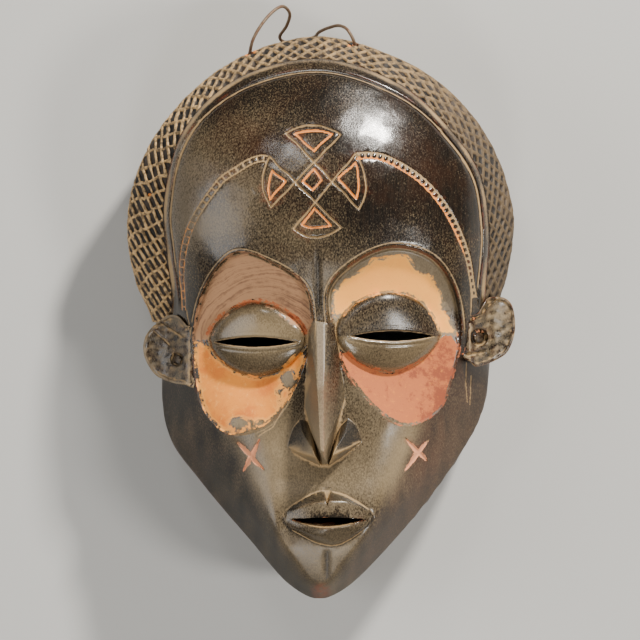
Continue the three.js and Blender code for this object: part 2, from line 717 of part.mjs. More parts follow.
// The origin is at the bottom centre of the bounding box
const bounds = new THREE.Box3().setFromObject(group);
const middle = bounds.getCenter(new THREE.Vector3());
for (const mesh of group.children) mesh.geometry.translate(-middle.x, -middle.y, -bounds.min.z);

export default group;
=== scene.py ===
import math
from itertools import combinations
from types import SimpleNamespace

import bpy
import numpy as np
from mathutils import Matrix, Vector


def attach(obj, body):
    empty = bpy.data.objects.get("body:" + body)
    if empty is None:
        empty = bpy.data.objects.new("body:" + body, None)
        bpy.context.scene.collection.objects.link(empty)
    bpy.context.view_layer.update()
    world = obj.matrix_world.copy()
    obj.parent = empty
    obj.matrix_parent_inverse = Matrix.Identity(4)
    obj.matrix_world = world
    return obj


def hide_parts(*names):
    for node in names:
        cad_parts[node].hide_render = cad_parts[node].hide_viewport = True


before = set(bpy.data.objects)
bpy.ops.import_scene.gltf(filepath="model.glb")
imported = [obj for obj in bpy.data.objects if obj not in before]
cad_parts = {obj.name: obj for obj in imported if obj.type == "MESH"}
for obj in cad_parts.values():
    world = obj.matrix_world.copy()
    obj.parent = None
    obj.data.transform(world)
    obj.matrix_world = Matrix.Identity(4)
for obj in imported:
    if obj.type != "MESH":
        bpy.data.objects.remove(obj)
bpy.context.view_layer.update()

mm = 0.001
drawingMiddle = np.array([0.7525, 7.1001, 0.0])  # middle of the part in the drawing, in mm
fineness = 1.0


# small tools, all on whole arrays

def smooth(low, high, value):
    # 3t^2 - 2t^3 between two limits, in either direction
    t = np.clip((value - low) / (high - low), 0.0, 1.0)
    return t * t * (3 - 2 * t)


def bell(value, middle, width):
    # exp(-t^2), with t the distance from the middle in widths
    return np.exp(-((value - middle) / width) ** 2)


def spots(x, y, marks):
    # soft round spots added up: each has a middle, half sizes and a strength
    return sum(strength * bell(x, cx, rx) * bell(y, cy, ry) for (cx, cy), (rx, ry), strength in marks)


def softMin(a, b, softness):
    # the smaller of the two, rounded off by a parabola where they come within the softness
    overlap = np.maximum(softness - np.abs(a - b), 0) / softness
    return np.minimum(a, b) - overlap * overlap * softness / 4


def softMax(a, b, softness):
    return -softMin(-a, -b, softness)


def along(stations, place):
    # height read off a profile: a cubic between stations, each slope taken from its two neighbours
    x, h = np.asarray(stations, float).T
    at = np.clip(place, x[0], x[-1])
    k = np.clip(np.searchsorted(x, at, side="right") - 1, 0, len(x) - 2)
    before = np.maximum(np.arange(len(x)) - 1, 0)
    after = np.minimum(np.arange(len(x)) + 1, len(x) - 1)
    slope = (h[after] - h[before]) / (x[after] - x[before])
    width = x[k + 1] - x[k]
    t = (at - x[k]) / width
    return (h[k] * (1 + 2 * t) * (1 - t) ** 2 + slope[k] * width * t * (1 - t) ** 2
            + h[k + 1] * t * t * (3 - 2 * t) + slope[k + 1] * width * t * t * (t - 1))


def curvePoints(points, closed, count):
    # centripetal curve: in each span a cubic whose end slopes weigh the neighbouring spans
    # by the square root of their lengths
    p = np.asarray(points, float)
    spans = len(p) if closed else len(p) - 1
    t = np.linspace(0, spans, count + 1)
    i = np.minimum(t.astype(int), spans - 1)
    f = (t - i)[:, None]
    if closed:
        row = np.vstack([p[-1:], p, p[:2]])
    else:
        row = np.vstack([2 * p[:1] - p[1:2], p, 2 * p[-1:] - p[-2:-1]])
    p0, p1, p2, p3 = row[i], row[i + 1], row[i + 2], row[i + 3]
    d0, d1, d2 = (np.sqrt(np.linalg.norm(b - a, axis=1))[:, None]
                  for a, b in ((p0, p1), (p1, p2), (p2, p3)))
    m1 = ((p1 - p0) / d0 - (p2 - p0) / (d0 + d1) + (p2 - p1) / d1) * d1
    m2 = ((p2 - p1) / d1 - (p3 - p1) / (d1 + d2) + (p3 - p2) / d2) * d1
    return (p1 * (2 * f ** 3 - 3 * f ** 2 + 1) + m1 * (f ** 3 - 2 * f ** 2 + f)
            + p2 * (3 * f ** 2 - 2 * f ** 3) + m2 * (f ** 3 - f ** 2))


def radiusAbout(points, closed, centre):
    # distance from a centre to an outline, as a function of the angle
    line = curvePoints(points, closed, 1800) - centre
    angle = np.arctan2(line[:, 1], line[:, 0])
    order = np.argsort(angle)
    angle, radius = angle[order], np.hypot(line[:, 0], line[:, 1])[order]
    return lambda turn: np.interp(turn, angle, radius, period=2 * math.pi)


def ripple(x, y, size, seed, waves=14):
    # an even, endless unevenness: a sum of sine waves in seeded directions, about the given size across
    dice = np.random.default_rng(seed)
    total = np.zeros(np.broadcast(x, y).shape)
    for _ in range(waves):
        turn, phase = dice.uniform(0, 2 * math.pi, 2)
        length = size * dice.uniform(0.7, 1.6)
        total += np.sin((x * math.cos(turn) + y * math.sin(turn)) * 2 * math.pi / length + phase)
    return total / math.sqrt(waves / 2)


def pathDistance(x, y, path):
    # for each point: distance to a drawn line, which side it is on, and how far along it lies
    best = np.full(x.shape, 1e9)
    side = np.zeros(x.shape)
    place = np.zeros(x.shape)
    walked = 0.0
    for (ax, ay), (bx, by) in zip(path[:-1], path[1:]):
        length = math.hypot(bx - ax, by - ay)
        ux, uy = (bx - ax) / length, (by - ay) / length
        t = np.clip((x - ax) * ux + (y - ay) * uy, 0, length)
        dx, dy = x - ax - t * ux, y - ay - t * uy
        away = np.hypot(dx, dy)
        nearer = away < best
        best = np.where(nearer, away, best)
        side = np.where(nearer, np.sign(ux * dy - uy * dx), side)
        place = np.where(nearer, walked + t, place)
        walked += length
    return best, side, place, walked


def areaDistance(x, y, outline):
    # distance to a closed outline, positive inside: a point is inside where a line to its right
    # crosses the outline an odd number of times
    a = np.asarray(outline, float)
    b = np.roll(a, -1, 0)
    inside = np.zeros(x.shape, bool)
    for (ax, ay), (bx, by) in zip(a, b):
        if ay != by:
            across = ax + (y - ay) * (bx - ax) / (by - ay)
            inside ^= ((ay > y) != (by > y)) & (x < across)
    return pathDistance(x, y, np.vstack([a, a[:1]]).tolist())[0] * np.where(inside, 1, -1)


def within(x, y, low, high):
    return (x > low[0]) & (x < high[0]) & (y > low[1]) & (y < high[1])


def hullTop(points):
    # the planes over a set of corners: each plane through three of them with no corner above it
    p = np.asarray(points, float)
    trios = np.array(list(combinations(range(len(p)), 3)))
    a, b, c = p[trios[:, 0]], p[trios[:, 1]], p[trios[:, 2]]
    n = np.cross(b - a, c - a)
    n[n[:, 2] < 0] *= -1
    size = np.linalg.norm(n, axis=1)
    keep = (size > 1e-6) & (n[:, 2] > 0.02 * np.maximum(size, 1e-9))
    n, a = n[keep] / size[keep][:, None], a[keep]
    above = np.einsum("ik,jk->ij", n, p) - np.einsum("ik,ik->i", n, a)[:, None]
    top = above.max(1) < 1e-3
    return n[top], np.einsum("ik,ik->i", n[top], a[top])


def hullHeight(x, y, planes, softness):
    # height of the lowest of the planes over each point, its ridges rounded by the softness
    normals, offsets = planes
    heights = [(d - n[0] * x - n[1] * y) / n[2] for n, d in zip(normals, offsets)]
    lowest = np.minimum.reduce(heights)
    total = sum(np.exp(-np.clip(h - lowest, 0, 60 * softness) / softness) for h in heights)
    return lowest - softness * np.log(total)


def roundGrid(columns, rows, aspect):
    # a square grid bent onto the unit disc: each square ring of the grid becomes a circle.
    # The angles are squeezed towards the long axis, so that the cells of a long oval stay even.
    a, b = np.meshgrid(np.linspace(-1, 1, columns + 1), np.linspace(-1, 1, rows + 1))
    reach = np.maximum(np.abs(a), np.abs(b))
    wide = np.abs(a) >= np.abs(b)
    big = np.where(wide, a, b)
    part = np.where(wide, b, a) / np.where(big == 0, 1, big)
    turn = np.where(wide, part * math.pi / 4, math.pi / 2 - part * math.pi / 4)
    turn = np.where(big < 0, turn + math.pi, turn)
    return reach, np.arctan2(aspect * np.sin(turn), np.cos(turn))


def gridFaces(rows, columns):
    # the four-sided faces of a grid of vertices, anticlockwise
    index = np.arange(rows * columns).reshape(rows, columns)
    return np.stack([index[:-1, :-1], index[:-1, 1:], index[1:, 1:], index[1:, :-1]], -1).reshape(-1, 4)


def edgeLoop(rows, columns):
    # the outer vertices of a grid, once round, anticlockwise
    index = np.arange(rows * columns).reshape(rows, columns)
    return np.concatenate([index[0, :-1], index[:-1, -1], index[-1, :0:-1], index[:0:-1, 0]])


def bandFaces(lower, upper):
    # faces between two loops of the same length, each running anticlockwise
    return np.stack([lower, np.roll(lower, -1), np.roll(upper, -1), upper], -1)


def closedBelow(top, rings, foot):
    # a block: a grid of points on top, rings of points down its side, and a fan to a point underneath
    rows, columns = top.shape[:2]
    points, quads = [top.reshape(-1, 3)], [gridFaces(rows, columns)]
    above, count = edgeLoop(rows, columns), rows * columns
    for ring in rings:
        points.append(ring)
        current = np.arange(len(ring)) + count
        quads.append(bandFaces(current, above))
        above, count = current, count + len(ring)
    points.append(np.array([foot]))
    under = np.stack([np.roll(above, -1), above, np.full(len(above), count)], -1)
    return np.vstack(points), np.vstack(quads), under


def settled(values, rounds):
    # a grid of values evened out: each one becomes the mean of itself, counted twice, and its four
    # neighbours
    for _ in range(max(1, round(rounds * fineness ** 2))):
        wide = np.pad(values, 1, mode="edge")
        values = (wide[1:-1, 1:-1] * 2 + wide[:-2, 1:-1] + wide[2:, 1:-1] + wide[1:-1, :-2]
                  + wide[1:-1, 2:]) / 6
    return values


clayPaints = ["pink", "orange", "salmon", "scar"]  # above zero inside the painted area
fieldNames = ["dust", "wear", "rib", "inside", "ochreLine", "paintedShade", "hazeAndSheen", "brown", "dull",
              "strokeAcross", "strokeAlong", *clayPaints]
farOutside = -5.0


def makeMesh(name, points, quads, triangles, fields):
    # drawing millimetres to metres round the part's middle; a field is a number per vertex: the values
    # of the first vertices, and one for all the rest
    points = (points - drawingMiddle) * mm
    corners = np.concatenate([quads.reshape(-1), triangles.reshape(-1)])
    starts = np.concatenate([np.arange(len(quads)) * 4, quads.size + np.arange(len(triangles)) * 3])
    mesh = bpy.data.meshes.new(name)
    mesh.vertices.add(len(points))
    mesh.vertices.foreach_set("co", points.astype(np.float32).ravel())
    mesh.loops.add(len(corners))
    mesh.loops.foreach_set("vertex_index", corners.astype(np.int32))
    mesh.polygons.add(len(starts))
    mesh.polygons.foreach_set("loop_start", starts.astype(np.int32))
    mesh.update(calc_edges=True)
    for field in fieldNames:
        values, rest = fields.get(field, ([], farOutside if field in clayPaints else 0.0))
        full = np.full(len(points), rest, np.float32)
        full[:np.size(values)] = np.ravel(values)
        mesh.attributes.new(field, "FLOAT", "POINT").data.foreach_set("value", full)
    piece = bpy.data.objects.new(name, mesh)
    bpy.context.scene.collection.objects.link(piece)
    return piece


# the head: the same forms as the solid, from the same named sizes

head = {
    "faceCentre": (1.0, 0.0), "fanCentre": (0.0, -14.0),
    "jawStartY": -8.0, "jawFullY": -46.0, "chinSoftness": 0.3, "cheekSoftness": 0.75, "chinZone": (-100, -62),
    "foreheadRoundness": 4.0, "foreheadFullness": 0.7, "sideFall": 0.0026,
    "bandWidth": 3.5, "bandWidthTop": 5.6, "bandLift": 0.9, "grooveDepth": 0.75,
    "jawRimInset": 3.0, "chinRimInset": 9.0, "chinRimZone": (-88, -124), "chinEnd": -124.6,
    "front": [(-130, 71), (-122, 75), (-112, 80), (-100, 84.5), (-86, 86), (-70, 83), (-50, 80.5),
              (-25, 81), (-5, 84), (12, 88.5), (28, 92.5), (46, 94.5), (64, 94.5), (82, 92),
              (100, 87), (116, 82)],
    "edge": [(-126, 57), (-112, 50), (-85, 40), (-50, 34), (-20, 38), (10, 49), (45, 57), (80, 63),
             (114, 66)],
    "jawBreak": [(-126, 0.97), (-118, 0.952), (-108, 0.915), (-92, 0.878), (-75, 0.825), (-55, 0.77),
                 (-20, 0.72)],
    "faceOutline": [(0.8, 114), (-36.8, 105.1), (-60.3, 82.2), (-69, 50), (-67.8, 28.6), (-65.5, 6),
                    (-70.2, -32.4), (-66.8, -53), (-53.3, -72.4), (-31.1, -99), (-13, -119),
                    (-0.9, -124.8), (10, -121), (31.1, -101.2), (57.7, -67.9), (72.4, -41.3),
                    (75.2, -15), (73.2, 6), (74.9, 38), (70.5, 63.5), (58.1, 82.2), (36.3, 102.1)],
    "coiffureOutline": [(-74, -8), (-76, 1), (-82.6, 16.4), (-86.1, 43.1), (-78.6, 71.9),
                        (-57.7, 99.9), (-31.1, 117.7), (0, 124.8), (26.6, 118.5), (53.3, 104.3),
                        (75.5, 78.6), (86.4, 45), (83, 16.4), (79, 4), (77, -6)],
}
faceCentre, fanCentre = np.array(head["faceCentre"]), np.array(head["fanCentre"])
faceRadius = radiusAbout(head["faceOutline"], True, faceCentre)
creaseRadius = radiusAbout(head["faceOutline"], True, fanCentre)
coiffureRadius = radiusAbout(head["coiffureOutline"], False, fanCentre)
radiusFromFace = radiusAbout(head["coiffureOutline"] + [(74, -25), (-70, -25)], True, faceCentre)


def frontHeight(x, y):
    # smooth front of the head: above, a dome (1 - reach^4)^0.7 between edge and crest; below, a flat
    # front whose sides turn back in a straight slope
    dx, dy = x - faceCentre[0], y - faceCentre[1]
    reach = np.minimum(np.hypot(dx, dy) / faceRadius(np.arctan2(dy, dx)), 1)
    edge = along(head["edge"], y)
    crest = along(head["front"], y) - head["sideFall"] * x * x
    dome = (1 - reach ** head["foreheadRoundness"]) ** head["foreheadFullness"]
    cheek = smooth(*head["chinZone"], y)
    softness = head["chinSoftness"] + (head["cheekSoftness"] - head["chinSoftness"]) * cheek
    side = softMin(np.ones_like(reach), (1 - reach) / (1 - along(head["jawBreak"], y)), softness)
    jaw = smooth(head["jawStartY"], head["jawFullY"], y)
    return edge + (crest - edge) * (dome + (side - dome) * jaw)


def rimInset(y):
    # how far the flat rim lies inside the jaw's outline: most under the chin
    chin = smooth(*head["chinRimZone"], y)
    return head["jawRimInset"] + (head["chinRimInset"] - head["jawRimInset"]) * chin


# eye sockets and eyes

eyes = {
    "edgeTop": 4.2, "edgeBottom": 1.0, "edgeZone": (-22, 16), "depth": 10.0, "bowl": 2.2, "wallWidth": 0.9,
    "wallStart": -0.35, "footShare": 0.35, "footWidth": 1.2, "channelAt": 1.1, "channelWidth": 0.75,
    "rise": 9.0, "pointed": 1.75, "lidFall": 30, "lidRoot": 0.25,
    "slitLength": 36.0, "slitHeight": 4.2, "lidBevel": 0.9, "bevelLower": 0.8, "bevelUpper": 0.45,
    "lidLineAt": 2.1, "lidLineWidth": 0.5, "lidLineLower": 0.3, "lidLineUpper": 0.1,
    "left": {
        "outline": [(-37.3, 28.4), (-50, 15), (-56, -6), (-55.2, -26), (-51.5, -41.3), (-39.5, -51.9),
                    (-22.6, -47.5), (-12, -33), (-6, -18), (-3, -2), (-6.5, 13.5), (-20.9, 24)],
        "centre": (-29.0, -10.0), "eye": (-27.9, -10.1), "half": (21.2, 16.4), "slit": (-28.4, -11.0),
        "channel": 0.45,
    },
    "right": {
        "outline": [(32.4, 31.3), (15, 24.5), (4, 13), (4, -4), (9.1, -20), (18, -33), (35.1, -47.8),
                    (52.2, -41.7), (59.5, -24), (62.6, -5), (58.6, 14.5), (49.3, 26.6)],
        "centre": (32.0, -8.0), "eye": (30.2, -6.5), "half": (23.3, 17.7), "slit": (32.1, -8.4),
        "channel": 0.85,
    },
}


def slitField(x, y, centre, length, height):
    # distance above the curved edge of a pointed slit, negative inside the slit
    across = np.clip(np.abs(x - centre[0]) / (length / 2), 0, 1)
    over = np.maximum(np.abs(x - centre[0]) - length / 2, 0)
    return np.hypot(np.maximum(np.abs(y - centre[1]) - height / 2 * (1 - across ** 2), 0), over)


def carveSocket(x, y, height, base, side):
    # a bowl, 1 - reach^2.2 deep, below a stepped edge, with a small hollow curve at the foot of its
    # wall; then the lids as a dome whose outline is a pointed power curve
    spot = eyes[side]
    radiusOf = radiusAbout(spot["outline"], True, np.array(spot["centre"]))
    dx, dy = x - spot["centre"][0], y - spot["centre"][1]
    radius = radiusOf(np.arctan2(dy, dx))
    distance = np.hypot(dx, dy)
    inset = radius - distance
    step = eyes["edgeBottom"] + (eyes["edgeTop"] - eyes["edgeBottom"]) * smooth(*eyes["edgeZone"], y)
    floor = base - step - (eyes["depth"] - step) * (1 - np.minimum(distance / radius, 1) ** eyes["bowl"])
    foot = eyes["footShare"] * step * np.clip(1 - inset / eyes["footWidth"], 0, 1) ** 2
    foot -= spot["channel"] * bell(inset, eyes["channelAt"], eyes["channelWidth"]) * smooth(-8, 12, y)
    wall = smooth(eyes["wallStart"], eyes["wallStart"] + eyes["wallWidth"], inset)
    height = height + (floor + foot - height) * wall
    (ex, ey), (halfWidth, halfHeight), p = spot["eye"], spot["half"], eyes["pointed"]
    q = (np.abs((x - ex) / halfWidth) ** p + np.abs((y - ey) / halfHeight) ** p) ** (1 / p)
    dome = floor + eyes["rise"] * np.sqrt(np.clip(1 - q * q, 0, 1)) - eyes["lidFall"] * np.clip(q - 1, 0, 1)
    lids = np.clip((dome - height) / 0.3, 0, 1)
    height = np.where(inset > 0, softMax(height, dome, eyes["lidRoot"]), height)
    slit = slitField(x, y, spot["slit"], eyes["slitLength"], eyes["slitHeight"])
    below = y < spot["slit"][1]
    bevel = np.where(below, eyes["bevelLower"], eyes["bevelUpper"])
    height = height - bevel * smooth(eyes["lidBevel"], 0.1, slit)
    lidLine = np.where(below, eyes["lidLineLower"], eyes["lidLineUpper"]) * lids
    height = height - lidLine * bell(slit, eyes["lidLineAt"], eyes["lidLineWidth"])
    eyeAway = np.hypot(x - ex, y - ey) * (1 - 1 / np.maximum(q, 0.05))
    return height, inset, eyeAway, slit, smooth(0.2, 0.9, lids) * (inset > 0)


# nose

nose = {
    # corners: place and height over the face; the first ones lie just under the surface
    "bridge": [(-2.5, -1.4, -0.5), (-4.7, -5.8, -0.5), (-5.8, -21.3, -0.5), (-6.9, -39.1, -0.5),
               (4, -2.7, -0.5), (6.7, -8.9, -0.5), (9.8, -25.8, -0.5), (11.2, -34.6, -0.5), (-5, -48, -0.5),
               (1, -65.3, -0.5), (3.6, -65.1, -0.5), (-1.6, -3.1, 1.2), (1.6, -3.1, 1.2), (-1.3, -30, 16.5),
               (1.6, -30, 16.5), (0.2, -58.5, 22.6), (1.7, -58.8, 22.6), (1.8, -61.9, 19.2)],
    "leftWing": [(-8.9, -44.6, -0.4), (-12, -48.6, -0.4), (-13.8, -53.3, -0.4), (-14.4, -56.8, 0),
                 (-12.9, -58.8, -0.4), (-6.7, -62.4, -0.4), (0.5, -65.6, -0.4), (-7.1, -45.3, 0.2),
                 (-4.9, -47.5, 1.0), (-3.1, -51.5, 3.5), (-7.5, -51.3, 6.8), (-5.3, -55.5, 10.2),
                 (-2.7, -59, 13.6), (-8.9, -59.5, 6.6), (-1.8, -61.5, 15)],
    "rightWing": [(12.9, -44.6, -0.4), (15.7, -47.1, -0.4), (17.8, -50.6, -0.4), (18.6, -54.6, 0),
                  (15.1, -57.6, -0.4), (8.9, -62.4, -0.4), (3.5, -65.5, -0.4), (12.3, -44.9, 0.2),
                  (9.3, -48.4, 1.2), (7.1, -53.3, 4), (11.5, -50.8, 6.2), (8.9, -55.3, 10.2),
                  (6.2, -59, 13.6), (16.4, -55.3, 1.8), (11.1, -58.1, 7.6), (5.3, -60.8, 14.5)],
    "ridgeSoftness": 0.12, "rootSoftness": 0.4, "near": ((-20, -72), (24, 8)),
    "ridgeLine": [(1.7, -12), (1.7, -40), (1.4, -55), (1.9, -61.5)],
}
nothingThere = -1e3  # a height below everything


def risen(corners):
    # corners given as a place and a height over the face, turned into points
    marks = np.array(corners, float)
    return np.column_stack([marks[:, :2], frontHeight(marks[:, 0], marks[:, 1]) + marks[:, 2]])


def addNose(x, y, height):
    # the bridge's wedge and the two wings, each the top of a faceted block set into the face
    near = within(x, y, *nose["near"])
    built, wings = np.full(x.shape, nothingThere), np.zeros(x.shape)
    for name in ("bridge", "leftWing", "rightWing"):
        wedge = hullHeight(x[near], y[near], hullTop(risen(nose[name])), nose["ridgeSoftness"])
        if name != "bridge":
            over = wedge - np.maximum(built[near], height[near])
            wings[near] = np.maximum(wings[near], smooth(0, 0.3, over))
        built[near] = np.maximum(built[near], wedge)
    return softMax(height, built, nose["rootSoftness"]), built > height, wings


# mouth

mouth = {
    "slitLength": 34.0, "slitHeight": 2.7, "slitCentre": (3.9, -89.2), "softness": 0.3,
    "near": ((-17.6, -102), (24.8, -75)), "upperEnd": -89.5, "rootSoftness": 0.1,
    # corners: place and height over the face; the first twelve are the lip's outline, just under it
    "upper": [(-16.2, -87.9, -0.4), (-15.5, -85.5, -0.4), (-12.4, -82.6, -0.4), (-7.5, -79.5, -0.4),
              (-3.6, -77.3, -0.4), (0.4, -76.2, -0.4), (5.3, -76.4, -0.4), (11.1, -78.2, -0.4),
              (15.5, -80.6, -0.4), (20, -83.3, -0.4), (22.8, -85.5, -0.4), (23.5, -87.5, -0.4),
              (-13.3, -86.1, 1), (-8.9, -83.5, 2.7), (-3.6, -81.7, 4.3), (0.9, -81, 5.1), (5.3, -80.7, 5.3),
              (11.1, -80.9, 4.4), (16.9, -82.9, 2.6), (21.2, -85.6, 0.9), (-12, -88.2, 1.8),
              (-6, -88.6, 4.2), (3, -88.8, 6.6), (11, -88.6, 5), (18, -88.2, 2.4)],
    "lower": [(-16.2, -88.4, -0.4), (-15.9, -90.3, -0.4), (-13.3, -93.4, -0.4), (-7.5, -96.5, -0.4),
              (-2.2, -99.2, -0.4), (2.2, -100.5, -0.4), (5.3, -100.8, -0.4), (8.9, -100.1, -0.4),
              (14.2, -97.4, -0.4), (19.1, -93.9, -0.4), (22.8, -89.8, -0.4), (23.5, -88, -0.4),
              (-10.2, -92.8, 2.8), (-5.8, -94.6, 4.0), (1.2, -96, 4.9), (5.3, -99.6, 1.8), (-1.8, -98.2, 1.8),
              (9, -99, 1.9), (14, -96.3, 1.8), (19, -92.7, 1.4), (-6, -91.6, 4.3), (3, -92.8, 6.0),
              (12, -91.6, 4.9), (-11.5, -89.6, 2.4), (18, -89.4, 2.6)],
    "ridge": [(-16.2, -87), (-13.3, -86.1), (-8.9, -83.5), (-3.6, -81.7), (0.9, -81), (5.3, -80.7),
              (11.1, -80.9), (16.9, -82.9), (21.2, -85.6), (23.5, -87)],
    "innerDepth": 5.2, "innerHalf": 18.5, "innerTop": -87.6, "innerSlope": 1.5, "innerMost": 4,
    "notchX": 3.3, "notchFoot": -82.8, "notchRise": 6.6, "notchHalf": 2.2, "notchLeft": 0.5,
}


def lipOutline(name):
    # a lip's outline as seen from the front
    return [corner[:2] for corner in mouth[name][:12]]


def addLips(x, y, height, base):
    # two ridged wedges on the face; a notch under the nose that widens upwards; the lower lip's inner
    # face slopes back from a curved line to the slit
    near = within(x, y, *mouth["near"])
    built = np.full(x.shape, nothingThere)
    for name in ("upper", "lower"):
        wedge = hullHeight(x[near], y[near], hullTop(risen(mouth[name])), mouth["softness"])
        if name == "upper":
            wedge = np.where(y[near] < mouth["upperEnd"], nothingThere, wedge)
        built[near] = np.maximum(built[near], wedge)
    lip = near & (built > height)
    height = softMax(height, built, mouth["rootSoftness"])
    drop = np.clip((y - mouth["notchFoot"]) / mouth["notchRise"], 0, 1.3)
    notchHalf = np.maximum(mouth["notchHalf"] * drop, 0.05)
    notch = np.clip(1 - np.abs(x - mouth["notchX"]) / notchHalf, 0, 1) * (drop > 0)
    spare = np.clip(height - base + mouth["notchLeft"], 0, 9)
    height = np.where(near, height - spare * smooth(0, 0.6, notch), height)
    across = np.clip(np.abs(x - mouth["notchX"]) / mouth["innerHalf"], 0, 1)
    innerEdge = mouth["innerTop"] - mouth["innerDepth"] * (1 - across ** 2)
    inner = near & (y < mouth["slitCentre"][1] + 0.6) & (across < 1)
    slope = mouth["innerSlope"] * np.clip(y - innerEdge, 0, mouth["innerMost"])
    height = height - np.where(inner, slope, 0)
    return height, lip, np.where(inner, smooth(0, 0.4, y - innerEdge), 0.0), smooth(0.1, 0.5, notch) * lip


# engraving

engraving = {
    "crossWidth": 1.15, "crossDepth": 0.75, "innerWidth": 1.1, "innerDepth": 0.55,
    "waver": 0.12, "waverSize": 9, "crossArea": ((-30, 30), (26, 90)), "scarArea": ((20, -72), (54, -50)),
    "cross": [((-14.7, 80.8), (17.3, 47.1), 0), ((-22.2, 70.6), (9.3, 39.1), 0),
              ((9.1, 79.9), (-21.5, 48), 0), ((15.5, 71.5), (-11.5, 38.6), 0),
              ((-14.7, 80.8), (9.1, 79.9), 4), ((-21.5, 48), (-22.2, 70.6), 3.3),
              ((15.5, 71.5), (17.3, 47.1), 3.8), ((9.3, 39.1), (-11.5, 38.6), 4)],
    "inner": [((-11, 80.2), (5.1, 80.3), 1.7), ((5.1, 80.3), (-2.6, 72.9), 0), ((-2.6, 72.9), (-11, 80.2), 0),
              ((15.4, 67.5), (8.4, 61), 0), ((8.4, 60.2), (16, 52), 0), ((15.4, 67.5), (16, 52), 1.4),
              ((-20.9, 64.1), (-15.2, 59.5), 0), ((-15.2, 59.5), (-21.9, 51.4), 0),
              ((-21.9, 51.4), (-20.9, 64.1), 0.9),
              ((-2.2, 47.6), (-7.9, 40.4), 0), ((-2.2, 47.6), (4.9, 40), 0), ((4.9, 40), (-7.9, 40.4), 1),
              ((-2.6, 64.9), (0.7, 60.1), 0), ((0.7, 60.1), (-3.3, 55.7), 0),
              ((-3.3, 55.7), (-7.5, 59.3), 0), ((-7.5, 59.3), (-2.6, 64.9), 0)],
    "scars": [((-36, -55.4), (-24.8, -67.2)), ((-26.6, -54.1), (-33.5, -67.8)),
              ((37.5, -53.5), (47.5, -64.1)), ((47.9, -54.1), (37.3, -67.8))],
    "scarWidth": 2.5, "scarDepth": 0.9,
    "leftArc": [(-22.7, 70.5), (-25.4, 71), (-30.7, 69.6), (-36.9, 66), (-43.7, 61.6), (-48.5, 55.8),
                (-53.3, 49.1), (-56.7, 43.3), (-59.6, 36.6), (-61.3, 29.8), (-62, 23.6), (-62, 17.3),
                (-61.3, 10.1), (-61, 2.9)],
    "rightArc": [(15.6, 71.8), (21, 72.2), (27.1, 71.5), (36.9, 67), (46.8, 59.9), (55.5, 49.7),
                 (61.7, 38.6), (66.2, 26.2), (67.9, 16), (69.2, 8.7)],
    "arcGap": 2.6, "arcGapEnd": 1.5, "arcWidth": 0.8, "arcDepth": 0.4, "arcNarrows": (0.6, 0.97),
    "leftArcArea": ((-99, -2), (-18, 78)), "rightArcArea": ((13, -2), (99, 78)),
    "leftRungs": 3.5, "rightRungs": 2.8, "leftRungHalf": 0.4, "rightRungHalf": 0.62,
    "fineWidth": 0.45, "fineDepth": 0.25,
    "fine": [[(66.6, 15), (66.9, 4), (66.2, -8), (66, -18)],
             [(-58.8, 3), (-57.4, -8), (-57.7, -20), (-56, -31)],
             [(-16, -40.5), (-20.5, -48), (-27, -52.6)], [(64.7, -20), (64.7, -28), (65.3, -38)],
             [(67, -26), (66.8, -32), (66.6, -39)]],
}


def bowed(start, end, bow, count=9):
    # a drawn stroke from start to end, its middle pushed out sideways
    t = np.linspace(0, 1, count)[:, None]
    a, b = np.array(start), np.array(end)
    across = np.array([-(b - a)[1], (b - a)[0]]) / np.linalg.norm(b - a)
    return (a + (b - a) * t + across * bow * 4 * t * (1 - t)).tolist()


